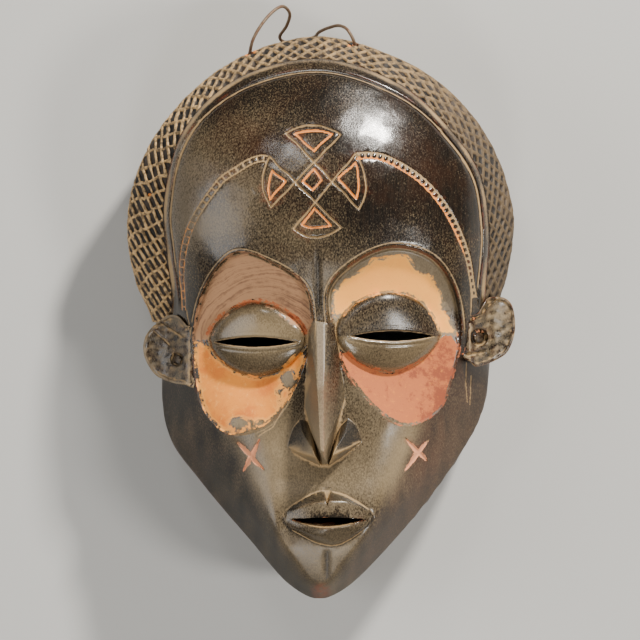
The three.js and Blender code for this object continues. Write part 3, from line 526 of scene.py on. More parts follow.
def engrave(x, y, height):
    # V and U shaped strokes sunk below the surface; returns what fills them
    wx, wy = (value + engraving["waver"] * ripple(x, y, engraving["waverSize"], seed)
              for value, seed in ((x, 3), (y, 4)))
    cut, dust, ochre = np.zeros(x.shape), np.zeros(x.shape), np.zeros(x.shape)
    scars = np.full(x.shape, farOutside)
    near = within(x, y, *engraving["crossArea"])
    tx, ty = wx[near], wy[near]
    crossCut, crossDust, innerCut = np.zeros(tx.shape), np.zeros(tx.shape), np.zeros(tx.shape)
    for start, end, bow in engraving["cross"]:
        d = pathDistance(tx, ty, bowed(start, end, bow))[0] / (engraving["crossWidth"] / 2)
        crossCut = np.maximum(crossCut, smooth(1.1, 0.2, d))
        crossDust = np.maximum(crossDust, smooth(1.15, 0.55, d))
    for start, end, bow in engraving["inner"]:
        d = pathDistance(tx, ty, bowed(start, end, bow))[0] / (engraving["innerWidth"] / 2)
        innerCut = np.maximum(innerCut, smooth(1.15, 0.35, d))
    cut[near] = np.maximum(engraving["crossDepth"] * crossCut, engraving["innerDepth"] * innerCut)
    dust[near] = 0.8 * crossDust
    ochre[near] = smooth(0.1, 0.55, innerCut)

    near = within(np.abs(x), y, *engraving["scarArea"])
    scarCut, scarFill = np.zeros(x[near].shape), np.full(x[near].shape, farOutside)
    for start, end in engraving["scars"]:
        d, _, place, length = pathDistance(wx[near], wy[near], bowed(start, end, 0))
        half = engraving["scarWidth"] / 2 * (0.2 + 0.8 * np.sin(np.pi * np.clip(place / length, 0.02, 0.98)))
        scarCut = np.maximum(scarCut, smooth(1.1, 0.2, d / half))
        scarFill = np.maximum(scarFill, 3 * (half - d))
    cut[near] = np.maximum(cut[near], engraving["scarDepth"] * scarCut)
    scars[near] = scarFill

    for name, inward in (("left", 1), ("right", -1)):
        near = within(x, y, *engraving[name + "ArcArea"])
        path = curvePoints(engraving[name + "Arc"], False, 70).tolist()
        d, side, place, length = pathDistance(x[near], y[near], path)
        offset = d * side * inward
        share = place / length
        narrowing = (engraving["arcGapEnd"] - engraving["arcGap"]) * smooth(*engraving["arcNarrows"], share)
        gap = engraving["arcGap"] + narrowing
        ends = (place > 0.01) & (place < length - 0.01)
        away = np.minimum(np.abs(offset), np.abs(offset - gap))
        line = smooth(1.25, 0.5, away / (engraving["arcWidth"] / 2))
        pitch = engraving[name + "Rungs"]
        beat = np.abs((place / pitch) % 1 - 0.5) * pitch
        rung = smooth(0.25, -0.15, beat - engraving[name + "RungHalf"]) * ((offset > 0) & (offset < gap))
        mark = np.maximum(line, rung * 0.9) * ends
        cut[near] = np.maximum(cut[near], engraving["arcDepth"] * mark)
        if name == "left":
            warm = 0.5 * smooth(0.3, 0.6, share)
        else:
            warm = 0.8 * smooth(0.8, 1.8, offset) * smooth(0.9, 0.7, share)
        dust[near] = np.maximum(dust[near], mark * (1 - 0.8 * warm))
        ochre[near] = np.maximum(ochre[near], mark * warm)
    for path in engraving["fine"]:
        d = pathDistance(wx, wy, path)[0]
        cut = np.maximum(cut, engraving["fineDepth"] * smooth(engraving["fineWidth"], 0.1, d))
        dust = np.maximum(dust, 0.75 * smooth(0.5, 0.2, d))
    return height - cut, dust, ochre, scars


# clay paint in the sockets

paint = {
    "orangeRight": [(5.5, 10.2), (12, 16.9), (20.9, 22.2), (22.6, 25.1), (31.1, 26.3), (36.4, 27.5),
                    (40, 25.8), (41.3, 22.2), (45.3, 19.1), (49.5, 18), (50.6, 13.8), (53.7, 10.8),
                    (54.2, 3.1), (57.3, -1.6), (60.6, -7.7), (53.2, -7.7), (50, 0.1), (44.6, 6.6),
                    (39.5, 10), (32.9, 11), (25.8, 10.4), (15.5, 6.4), (11, 1.4), (6.2, -2.6)],
    "salmonRight": [(60.6, -7.6), (53.2, -7.6), (50.2, -12.9), (43.1, -20), (36, -23.5), (30.5, -24.9),
                    (24, -22.5), (16.9, -18.9), (15.5, -16), (12.7, -14.4), (9.1, -16), (10.6, -24.9),
                    (16.5, -31.4), (24.2, -39.7), (33.5, -46.6), (40.6, -48.2), (48.9, -46), (56, -39.4),
                    (60, -28.9), (61.4, -14.2)],
    "orangeLeft": [(-55, -11.4), (-50, -12.6), (-46, -18), (-38, -24.2), (-28.5, -27), (-19, -24.6),
                   (-12.6, -18.6), (-9.8, -16), (-6.2, -16.9), (-5.4, -20.5), (-7.2, -24.5), (-9.5, -29),
                   (-10.8, -33.5), (-13.6, -36.2), (-16.6, -40), (-20.5, -44), (-25, -47.2), (-33, -50),
                   (-41.5, -51.4), (-47.5, -47), (-50.6, -41), (-53.6, -31), (-54.6, -22)],
    "pinkLeft": [(-57, -10.6), (-49.3, -10.9), (-45.6, -3.6), (-38, 4.2), (-29.8, 7.2), (-21, 4.2),
                 (-13.6, -2.2), (-8.8, -6.4), (-6.3, -7.4), (-2.4, -5), (-1.6, -0.5), (-3.6, 10),
                 (-7.4, 18), (-20.9, 26.5), (-37, 31), (-53, 16.6), (-58, -6)],
    "leftArea": ((-60, -56), (0, 32)), "rightArea": ((0, -54), (66, 36)),
    "offWall": 0.5, "salmonOffWall": 0.35, "lidLineAt": 0.75, "lidLineHalf": 0.85,
    # bare spots: middle and half sizes
    "flakes": [((-14, -27.1), (2.9, 3.8)), ((-34.8, -46.8), (4.4, 2.3)), ((-16.4, -37.7), (1.5, 1.1)),
               ((-18.2, -32.9), (0.7, 0.6)), ((-27, -47), (2.2, 1.4))],
}


def paintFields(x, y, insetL, insetR, eyeAwayL):
    # distance inside each painted area, kept off the walls, with the flaked spots taken out of the left
    # orange, and a thin salmon line round the left upper lid
    fields = {name: np.full(x.shape, farOutside) for name in ("pink", "orange", "salmon")}
    left, right = (within(x, y, *paint[name]) for name in ("leftArea", "rightArea"))
    lx, ly, offWall = x[left], y[left], insetL[left] - paint["offWall"]
    bare = np.full(lx.shape, 9.0)
    for (cx, cy), (rx, ry) in paint["flakes"]:
        bare = np.minimum(bare, (np.hypot((lx - cx) / rx, (ly - cy) / ry) - 1) * min(rx, ry))
    fields["pink"][left] = np.minimum(areaDistance(lx, ly, paint["pinkLeft"]), offWall)
    fields["orange"][left] = np.minimum(np.minimum(areaDistance(lx, ly, paint["orangeLeft"]), bare), offWall)
    line = paint["lidLineHalf"] - np.abs(eyeAwayL[left] - paint["lidLineAt"])
    fields["salmon"][left] = 1.5 * np.minimum(line, np.minimum(ly + 11, -6 - lx))
    for name, gap in (("orange", "offWall"), ("salmon", "salmonOffWall")):
        area = areaDistance(x[right], y[right], paint[name + "Right"])
        fields[name][right] = np.minimum(area, insetR[right] - paint[gap])
    bareSpots = np.zeros(x.shape)
    bareSpots[left] = smooth(0.5, -0.2, bare) * (insetL[left] > 0.8)
    return fields, bareSpots


# the face's block

block = {
    "columns": 380, "rows": 560, "aspect": 1.6,
    "wave": 0.05, "waveSize": 13, "toolMark": 0.014, "toolMarkSize": 4.5,
    "bandStart": (0, 12), "bandTopStart": (82, 108), "grooveAt": 0.5, "grooveWidth": 0.75,
    "paintThickness": 0.12, "rimLineDepth": 0.2, "lipLineDepth": 0.18, "foldDepth": 0.5,
    "wallSteps": [0.06, 0.14, 0.24, 0.35, 0.46, 0.57, 0.68, 0.79, 0.9, 0.975, 1.0],
    "wallBulge": 4.8, "bulgeMost": 1.2, "wallInset": 0.12, "wallWave": 0.12,
    # drying cracks: path, width and depth
    "cracks": [([(-30.7, 56.3), (-28.8, 54.4), (-26.8, 53.5)], 0.3, 0.22),
               ([(-20.6, 99), (-20.2, 94)], 0.25, 0.12), ([(-7.5, 100.5), (-7, 92)], 0.25, 0.12),
               ([(-10.4, 0.2), (-7.6, -3), (-5.6, -6.4)], 0.5, 0.6),
               ([(-8.7, -16.4), (-6, -13.4)], 0.5, 0.4), ([(31.5, 90), (33, 88)], 0.25, 0.05)],
}


def faceForm(x, y, reach, radius, edgeY):
    # the smooth front with its hairline band, sockets, nose, lips and engraving. Also returned: what
    # each point lies on, which the patina follows.
    on = SimpleNamespace(reach=reach, base=frontHeight(x, y), inset=(1 - reach) * radius)
    offEdge = smooth(1.0, 0.9, reach)
    height = on.base + block["wave"] * ripple(x, y, block["waveSize"], 11) * offEdge
    height += block["toolMark"] * ripple(x, y, block["toolMarkSize"], 12) * offEdge

    on.banded = smooth(*block["bandStart"], edgeY)
    wider = smooth(*block["bandTopStart"], y)
    width = head["bandWidth"] + (head["bandWidthTop"] - head["bandWidth"]) * wider
    t = on.inset / width
    bead = smooth(1.0, 0.74, t) * (0.8 + 0.2 * np.clip(4 * t * (1 - t), 0, 1)) - 0.3 * smooth(0.12, 0, t)
    groove = bell(on.inset, width + block["grooveAt"], block["grooveWidth"])
    height += on.banded * (head["bandLift"] * bead - head["grooveDepth"] * groove)

    height, on.insetL, on.eyeAwayL, on.slitL, on.lidLeft = carveSocket(x, y, height, on.base, "left")
    height, on.insetR, _, on.slitR, on.lidRight = carveSocket(x, y, height, on.base, "right")
    on.paints, on.bareSpots = paintFields(x, y, on.insetL, on.insetR, on.eyeAwayL)
    for area in on.paints.values():
        height += block["paintThickness"] * smooth(-0.15, 0.35, area + 0.35 * ripple(x, y, 2.5, 22))
    on.rimLine = np.maximum.reduce([bell(on.insetL, -1.2, 0.4) * smooth(-34, -8, y),
                                    bell(on.insetR, -1.3, 0.45) * smooth(-20, 0, y),
                                    bell(on.insetL, -0.8, 0.3) * smooth(-30, -38, y) * (x > -28)])
    height -= block["rimLineDepth"] * on.rimLine

    height, on.nose, on.wings = addNose(x, y, height)
    height, on.lips, on.innerFace, on.notch = addLips(x, y, height, on.base)
    on.aboveLip, on.belowLip = (pathDistance(x, y, lipOutline(name))[0] for name in ("upper", "lower"))
    for away in (on.aboveLip, on.belowLip):
        height -= block["lipLineDepth"] * smooth(0.8, 0.2, away)
    height, on.lineDust, on.ochre, on.scars = engrave(x, y, height)
    on.cleft = bell(x, 3.1, 1.6) * smooth(-101, -104, y) * smooth(-119, -112, y)
    on.browFold = bell(x, -0.6 - 0.02 * y, 1.5) * smooth(0, 6, y) * smooth(36, 24, y)
    height -= block["foldDepth"] * (on.cleft + on.browFold)
    for path, reachOut, depth in block["cracks"]:
        near = within(x, y, np.min(path, 0) - 2, np.max(path, 0) + 2)
        height[near] -= depth * smooth(reachOut, 0.1, pathDistance(x[near], y[near], path)[0])
    return height, on


patina = {
    # soft spots: middles, half sizes and strengths
    # spots of painted sheen on the left brow, temple and cheek
    "hazeAndSheen": [((-36, 46), (26, 24), 0.3), ((-60, 62), (14, 30), 0.3), ((-26, -66), (12, 16), 0.2)],
    "lidHaze": [((-28, -8), (14, 9), 0.35)],
    "brown": [((50, -66), (14, 26), 0.5), ((40, 66), (22, 20), 0.12), ((-30, 74), (16, 12), 0.2),
              ((-56, -60), (10, 20), 0.3)],
    "paintBrown": [((55, -24), (9, 16), 0.9)],
    "edgeWidth": 0.25, "chinTip": (0.5, -121.5), "chinTipSize": 5.5,
    "strokeCentre": (-28, -25), "strokeTilt": 5, "strokeLength": 14,
}


def facePatina(x, y, height, on):
    # shares from 0 to 1: dust in hollows and lines, wear on edges, haze with painted sheen on the open wood;
    # painted shade darkens, brown warms and dull roughens. A hollow is where the even mean of the neighbours
    # lies higher.
    relief = height - on.base
    sunk = settled(relief, 5) - relief
    wideSunk = settled(relief, 40) - relief
    lower = np.where(x < 0, y < eyes["left"]["slit"][1], y < eyes["right"]["slit"][1])
    lidDust = smooth(0.75, 0.25, np.minimum(on.slitL, on.slitR)) * np.where(lower, 1.0, 0.75)
    walls = sum(smooth(-0.5, 0.2, inset) * smooth(1.6, 0.4, inset) for inset in (on.insetL, on.insetR))
    socketWall = np.clip(walls, 0, 1) * smooth(-20, 0, y)
    dust = 0.72 * smooth(0.09, 0.28, sunk) + 0.2 * smooth(0.3, 1.0, wideSunk)
    dust = np.clip(dust * (1 - 0.9 * socketWall) * (1 - 0.6 * on.wings), 0, 1)
    wingEdge = on.wings * smooth(0.09, 0.22, -sunk)
    wingPit = on.wings * smooth(4.8, 7.5, np.abs(x - 0.9)) * smooth(-58.5, -56.5, y)
    edge = patina["edgeWidth"]  # the band's dust and haze keep to its outer edge
    bandDust = on.banded * 0.62 * bell(on.inset, edge + 0.7, 1.2) * (1 + 0.25 * ripple(x, y, 24, 27))
    dust = np.maximum.reduce([dust, 0.62 * smooth(0.6, 0.15, on.aboveLip), on.lineDust, 0.8 * on.rimLine,
                              lidDust, 0.75 * wingEdge, 0.75 * on.innerFace * smooth(-88, -91, y),
                              0.9 * on.notch, bandDust])

    wear = 0.4 * smooth(0.06, 0.2, -sunk) * smooth(0.0, 0.7, ripple(x, y, 16, 23))
    wear = wear * (1 - 0.8 * on.lips) * (1 - 0.95 * on.nose) * (1 - on.lidLeft) * (1 - on.lidRight)
    crease = np.clip(ripple(x, y, 34, 24), 0, 1) * on.banded * smooth(0.75, 0.1, on.inset)
    noseRidge = smooth(0.6, 0.2, pathDistance(x, y, nose["ridgeLine"])[0])
    strip = smooth(-0.2, 0.3, on.insetR) * smooth(1.1, 0.7, on.insetR) * smooth(14, 20, y) * (x > 12)
    tipX, tipY = patina["chinTip"]
    tip = smooth(patina["chinTipSize"], 2, np.hypot(x - tipX, y - tipY))
    wear = np.maximum.reduce([wear, crease, 0.3 * noseRidge, strip, 0.8 * tip])

    # painted shade in the sockets' walls, the chin's cleft and the fold between the brows
    paintedShade = socketWall * (1 - strip) * np.where(x < 0, 0.35, 0.6) + 0.9 * on.cleft + 0.9 * on.browFold
    # painted shade on the wings' facets, the upper lip above its ridge, the lower lip's outer face and a line
    # under it
    overRidge = smooth(-0.2, 0.5, y - along(mouth["ridge"], x)) * on.lips * (1 - on.notch)
    underFace = smooth(0.4, -0.4, y - (mouth["innerTop"] - mouth["innerDepth"] * 0.9)) * on.lips * (y < -90)
    paintedShade = paintedShade + wingPit * (1 - wingEdge) + 0.8 * overRidge + 0.4 * underFace
    paintedShade = np.clip(paintedShade + 0.9 * smooth(0.7, 0.3, on.belowLip), 0, 1)
    paintedShade = paintedShade * (1 - 0.9 * smooth(0.8, 0.4, on.aboveLip))
    # painted shade on the jaw's side planes, in upright streaks, darker on the left than the right
    jawPlane = along(head["jawBreak"], y)
    sidePlane = smooth(jawPlane - 0.05, jawPlane + 0.03, on.reach) * smooth(-8, -36, y)
    streaks = 0.5 + 0.5 * ripple(x, 0.25 * y, 5, 19)
    paintedShade = np.maximum(paintedShade, sidePlane * np.where(x < 0, 0.45 + 0.4 * streaks, 0.1 + 0.35 * streaks))

    offEdge = smooth(edge + 1, edge + 3, on.inset)
    onEdge = on.banded * smooth(edge + 1, edge - 1, on.inset) * smooth(0.4, 1.4, on.inset)
    # a film of dust, more on the lower face and the band's edge; the spots on the left brow, temple and cheek
    # are painted sheen
    hazeAndSheen = 0.2 + 0.38 * smooth(-16, -50, y) + 0.8 * onEdge + spots(x, y, patina["hazeAndSheen"])
    hazeAndSheen = hazeAndSheen + 0.06 * ripple(x, y, 30, 25) - 0.16 * smooth(2, 26, x) * smooth(30, 50, y) * offEdge
    hazeAndSheen = hazeAndSheen + 0.3 * bell(x, -1, 11) * smooth(-10, 2, y) * smooth(60, 26, y)
    hazeAndSheen = hazeAndSheen + 0.15 * bell(x, 3, 15) * smooth(-94, -104, y)
    # painted highlight down the right cheek
    hazeAndSheen = hazeAndSheen + 0.45 * bell(x, 37 + 0.25 * (y + 60), 6) * bell(y, -60, 15)
    hazeAndSheen = hazeAndSheen + (0.3 + spots(x, y, patina["lidHaze"])) * on.lidLeft
    # painted sheen on the right lower lid and on the nose's left facet
    hazeAndSheen = hazeAndSheen + np.where(lower, 0.5, 0.1) * on.lidRight + 0.4 * on.nose * smooth(4, 0, x - 0.5)
    hazeAndSheen = hazeAndSheen * (1 - 0.35 * sidePlane)
    # painted highlight: the bare strip at the top of the right socket made pale
    bareBandAndHighlight = smooth(0.2, 1.0, on.insetR) * smooth(0.2, -0.6, on.paints["orange"]) * smooth(-4, 6, y)
    bareBandAndHighlight = bareBandAndHighlight * (1 - on.lidRight) * (x > 3)
    hazeAndSheen = np.clip(np.maximum.reduce([hazeAndSheen, 0.85 * on.bareSpots, 0.8 * bareBandAndHighlight]), 0, 1)
    # painted light: the right socket's orange is given the full value, which lights its colour
    hazeAndSheen = np.where((x > 0) & (on.paints["orange"] > -0.3), 1.0, hazeAndSheen)

    brown = spots(x, y, patina["brown"]) + spots(x, y, patina["paintBrown"]) * (on.insetR > 0)
    brown = brown + 0.1 * smooth(2.5, 9, x - 0.5) * on.nose + 0.35 * sidePlane * smooth(0, 20, x)
    dull = sidePlane - 0.3 * on.lidLeft - np.where(lower, 0.45, -0.2) * on.lidRight + 0.22 * on.nose
    cx, cy = patina["strokeCentre"]
    arc = np.arctan2(y - cy, x - cx)
    fields = {"dust": (dust, 0.1), "wear": (wear, 0.05), "paintedShade": (paintedShade, 0.0), "hazeAndSheen": (hazeAndSheen, 0.25),
              "brown": (brown, 0.25), "dull": (dull, 1.0), "ochreLine": (on.ochre, 0.0),
              "strokeAcross": (on.eyeAwayL + patina["strokeTilt"] * arc, 0.0),
              "strokeAlong": (patina["strokeLength"] * arc, 0.0)}
    # the clay's fields in whole numbers, which leaves the last step at each edge to the flaking noise
    for name, area in {**on.paints, "scar": on.scars}.items():
        fields[name] = (np.trunc(area), farOutside)
    return fields


def buildFace():
    # top: the round grid laid over the face outline, each vertex at its height; then the side wall,
    # its inset growing as t^1.5 down to the flat rim, and a flat underside
    columns, rows = int(block["columns"] * fineness), int(block["rows"] * fineness)
    reach, turn = roundGrid(columns, rows, block["aspect"])
    radius = faceRadius(turn)
    edgeY = faceCentre[1] + np.sin(turn) * radius
    x = faceCentre[0] + np.cos(turn) * radius * reach
    y = np.maximum(faceCentre[1] + np.sin(turn) * radius * reach, head["chinEnd"])
    height, on = faceForm(x, y, reach, radius, edgeY)

    loop = edgeLoop(rows + 1, columns + 1)
    rimY, rimTurn, rimRadius, rimZ = (values.reshape(-1)[loop] for values in (y, turn, radius, height))
    cosine, sine = np.cos(rimTurn), np.sin(rimTurn)
    insetAt = rimInset(rimY)
    rings = []
    for step in block["wallSteps"]:
        bulge = block["wallBulge"] * head["jawRimInset"] / insetAt * step * (1 - step)
        distance = rimRadius - insetAt * step ** 1.5 + np.minimum(bulge, block["bulgeMost"])
        wallX = faceCentre[0] + cosine * distance
        wallY = np.maximum(faceCentre[1] + sine * distance, head["chinEnd"] - block["wallInset"])
        uneven = ripple(wallX * 1.3 + wallY, rimZ * (1 - step), 11, 31) * min(1, 6 * step, 6 * (1 - step))
        sunk = block["wallInset"] + block["wallWave"] * uneven
        rings.append(np.column_stack([wallX - cosine * sunk, wallY - sine * sunk, rimZ * (1 - step)]))
    parts = closedBelow(np.stack([x, y, height], -1), rings, [faceCentre[0], faceCentre[1], 0.0])
    return makeMesh("carvedMask", *parts, facePatina(x, y, height, on))


# the lattice coiffure

lattice = {
    "start": 171.0, "end": 12.6, "pitDepth": 1.5, "ribHalf": 0.52, "creaseDrop": 2.2, "bevel": 1.5,
    "bandWidth": 16.0, "shoulderDrop": 17.0, "shoulderShare": 0.42, "rimBorder": 14.0, "rimInset": 6.0,
    "middleShare": 0.6, "columnWidth": 0.44, "rows": 92, "borderRows": 12, "skin": 0.12, "insideInset": 6,
    # chips: place and size
    "chips": [(-32.6, 116.6, 1.4), (-29.1, 117.9, 1.2), (13.1, 120.3, 1.0), (-75.5, 54.2, 1.1)],
    # two families of ribs, along the coiffure from the left ear (0) to the right (1): the direction
    # in degrees as seen from the front, how far apart they stand, and how much they bend outwards
    "inward": {
        "direction": [(0, 46), (0.046, 43), (0.085, 36), (0.121, 29), (0.158, 20), (0.192, 17),
                      (0.238, 11.5), (0.283, 5.6), (0.341, -4), (0.398, -16), (0.441, -24), (0.489, -31),
                      (0.543, -38), (0.585, -43), (0.672, -57), (0.735, -68), (0.784, -88),
                      (0.831, -95), (0.865, -100), (0.903, -110), (1, -113)],
        "apart": [(0, 6.1), (0.158, 6.4), (0.192, 6.3), (0.238, 5.9), (0.283, 5.5), (0.341, 4.6),
                  (0.398, 3.9), (0.441, 3.5), (0.489, 3.3), (0.585, 3.0), (0.735, 2.5), (0.784, 2.65),
                  (0.865, 2.4), (1, 2.4)],
        "bend": [(0, 0), (1, 0)],
    },
    "outward": {
        "direction": [(0, 122), (0.046, 123), (0.085, 122), (0.121, 118), (0.158, 115), (0.192, 111),
                      (0.212, 105), (0.238, 96), (0.26, 88), (0.283, 80), (0.315, 73), (0.341, 67),
                      (0.398, 58), (0.441, 44), (0.489, 31), (0.543, 20), (0.585, 6), (0.623, -7),
                      (0.672, -18), (0.735, -27), (0.784, -33), (0.831, -39), (0.865, -47),
                      (0.903, -58), (0.941, -64), (1, -68)],
        "apart": [(0, 2.5), (0.085, 2.5), (0.158, 2.8), (0.2, 3.2), (0.26, 2.95), (0.341, 2.9),
                  (0.398, 3.2), (0.489, 3.3), (0.585, 3.0), (0.735, 3.3), (0.831, 3.5), (1, 3.6)],
        "bend": [(0, 6), (0.19, 8), (0.26, 22), (0.341, 34), (0.4, 16), (0.489, 0), (1, 0)],
    },
}


def bevelArc():
    # how far round the section each turn lies, as a share of its length
    turn = np.linspace(0, math.pi / 2, 400)
    x, z = np.sin(turn) ** lattice["bevel"], np.cos(turn) ** lattice["bevel"]
    walk = np.concatenate([[0], np.cumsum(np.hypot(np.diff(x), np.diff(z)))])
    return turn, walk


def coiffureSection(angle, run, sink):
    # from the crease to the widest line sin^b, cos^b of a quarter turn, which is a rounded bevel; then
    # a parabola in to the rim. sink moves a point inwards along the surface's own direction.
    # Also returned: how far out the point lies from the crease, and the lattice's whole run.
    inner, outer = creaseRadius(angle), coiffureRadius(angle)
    creaseZ = along(head["edge"], fanCentre[1] + np.sin(angle) * inner) - lattice["creaseDrop"]
    width = outer - inner
    shoulderZ = creaseZ - np.minimum(lattice["shoulderDrop"], lattice["shoulderShare"] * creaseZ)
    drop = creaseZ - shoulderZ
    turns, walk = bevelArc()
    quarter = walk[-1] * (width + drop) / 2
    turn = np.interp(np.clip(run / quarter, 0, 1) * walk[-1], walk, turns)
    down = np.maximum(run - quarter, 0) / shoulderZ
    b = lattice["bevel"]
    onBevel = run < quarter
    sine, cosine = np.clip(np.sin(turn), 1e-4, 1), np.clip(np.cos(turn), 1e-4, 1)
    out = np.where(onBevel, inner + width * sine ** b, outer - lattice["rimInset"] * down ** 2)
    z = np.where(onBevel, shoulderZ + drop * cosine ** b, shoulderZ * (1 - down))
    nx = np.where(onBevel, drop * cosine ** (b - 1) * sine, 1.0)
    nz = np.where(onBevel, width * sine ** (b - 1) * cosine, -0.15)
    size = np.hypot(nx, nz)
    reachOut = np.where(onBevel, out - inner, width + 0.75 * (run - quarter))
    out, z = out - sink * nx / size, z - sink * nz / size
    total = quarter + shoulderZ - lattice["rimBorder"]
    return (fanCentre[0] + np.cos(angle) * out, fanCentre[1] + np.sin(angle) * out, z), reachOut, total


def ribPattern(s, angle, tangent, run, q):
    # how much rib there is at each point, 0 to 1. Each family of ribs is a phase with ribs at its whole
    # numbers. Across a rib's direction the phase grows by one per distance apart; the share of that
    # growth along s and outwards (q) is the dot product with each.
    place, sGrid, rib = s / s[-1], np.broadcast_to(s, run.shape), np.zeros(run.shape)
    for family, sign in (("inward", 1), ("outward", -1)):
        direction = np.radians(along(lattice[family]["direction"], place))
        apart = along(lattice[family]["apart"], place)
        bend = np.radians(along(lattice[family]["bend"], place)) / lattice["bandWidth"]
        rate = np.sin(tangent - direction) / apart
        turned = np.sign(rate.mean())
        rate = rate * turned
        climb = np.sin(angle - direction) / apart * turned
        curl = np.cos(angle - direction) * bend / apart * turned
        phase = np.concatenate([[0], np.cumsum((rate[1:] + rate[:-1]) / 2 * np.diff(s))])
        value = phase + q * climb + q * q * curl / 2
        value = value + 0.05 * ripple(sGrid, run, 17, 41 + sign) + 0.02 * ripple(sGrid, run, 5, 45 + sign)
        away = np.abs(value - np.round(value)) * apart
        half = lattice["ribHalf"] * (1 + 0.15 * ripple(sGrid, run, 8, 47 + sign))
        rib = np.maximum(rib, smooth(0.5, -0.35, away - half) * (1 - 0.06 * ripple(sGrid, run, 12, 50)))
    return rib


def buildCoiffure():
    # the surface s along and run down, sunk between the ribs; then the plain border down to the rim,
    # the underside, and the inside back up to the crease
    angles = np.linspace(math.radians(lattice["start"]), math.radians(lattice["end"]), 2400)
    share = lattice["middleShare"]
    middle = (1 - share) * creaseRadius(angles) + share * coiffureRadius(angles)
    mx, my = middle * np.cos(angles), middle * np.sin(angles)
    walk = np.concatenate([[0], np.cumsum(np.hypot(np.diff(mx), np.diff(my)))])
    length = walk[-1]
    columns = int(length / lattice["columnWidth"] * fineness)
    latticeRows, borderRows = int(lattice["rows"] * fineness), int(lattice["borderRows"] * fineness)
    s = np.linspace(0, length, columns + 1)
    angle = np.interp(s, walk, angles)
    v = np.linspace(0, 1, latticeRows + 1)[:, None]
    total = coiffureSection(angle, 0 * angle, 0)[2]
    run = v * total
    q = coiffureSection(angle, run, 0)[1] - share * (coiffureRadius(angle) - creaseRadius(angle))
    sGrid = np.broadcast_to(s, run.shape)
    tangent = np.arctan2(np.gradient(np.interp(s, walk, my)), np.gradient(np.interp(s, walk, mx)))
    rib = ribPattern(s, angle, tangent, run, q)
    borderTop = smooth(0.9, 0.15, (1 - v) * total)
    creaseEdge = smooth(0.6, 0.2, run - 1.1) * smooth(0.3, 0.7, run) * smooth(0.55, 0.7, sGrid / length)
    ends = smooth(1.2, 0.4, np.minimum(sGrid, length - sGrid))
    solid = np.clip(np.maximum.reduce([rib, borderTop, creaseEdge * 0.4, ends]), 0, 1)
    uneven = 0.6 + 0.4 * smooth(-0.8, 0.6, ripple(sGrid, run, 6, 51))
    sink = lattice["pitDepth"] * uneven * (1 - solid) + 0.08 * ripple(sGrid, run, 10, 52) + lattice["skin"]
    (x, y, z), _, _ = coiffureSection(angle, run, np.where(run > 0, sink, 0))
    rows = [np.stack([x, y, z], -1)]

    for k in range(1, borderRows + 1):
        lowRun = total + lattice["rimBorder"] * k / borderRows
        low, _, _ = coiffureSection(angle, lowRun, lattice["skin"] + 0.08 * ripple(s, lowRun, 9, 55))
        rows.append(np.stack([low[0], low[1], np.maximum(low[2], 0) * (k < borderRows)], -1)[None])
    inside, level = creaseRadius(angle) - lattice["insideInset"], 0 * angle
    creaseTop = coiffureSection(angle, level, 0)[0][2]
    for out, top in ((coiffureRadius(angle) - lattice["rimInset"] - 2, level), (inside, level),
                     (inside, creaseTop - 1), (creaseRadius(angle), creaseTop)):
        ring = [fanCentre[0] + np.cos(angle) * out, fanCentre[1] + np.sin(angle) * out, top]
        rows.append(np.stack(ring, -1)[None])
    points = np.concatenate(rows, 0)
    around, across = points.shape[:2]
    index = np.arange(around * across).reshape(around, across)
    below = np.roll(index, -1, 0)
    quads = np.stack([index[:, :-1], below[:, :-1], below[:, 1:], index[:, 1:]], -1).reshape(-1, 4)
    flat = np.vstack([points.reshape(-1, 3), points[:, :1].mean(0), points[:, -1:].mean(0)])
    a, b, centre = index[:, 0], index[:, -1], np.full(around, index.size)
    caps = np.vstack([np.stack([a, centre, np.roll(a, -1)], -1),
                      np.stack([np.roll(b, -1), centre + 1, b], -1)])

    inCrease = smooth(0.75, 0.35, run)
    # painted light: the ribs lit at the left ear, half at the crown and shaded towards the right ear
    lit = 1 - 0.5 * smooth(0.25, 0.5, sGrid / length) - 0.42 * smooth(0.55, 0.8, sGrid / length)
    chips = sum(smooth(size, 0.4 * size, np.hypot(x - cx, y - cy)) for cx, cy, size in lattice["chips"])
    fields = {"rib": ((0.04 + 0.96 * solid) * (1 - inCrease), 0.0),
              "wear": (inCrease * smooth(-0.2, 0.8, ripple(sGrid, run, 14, 56)), 0.05),
              "hazeAndSheen": (lit, 0.5), "ochreLine": (chips * smooth(0.5, 0.4, v), 0.0),
              "dust": ([], 0.2), "brown": ([], 0.2), "dull": ([], 0.8)}
    return makeMesh("coiffure", flat, quads[:, ::-1], caps[:, ::-1], fields)


# ears

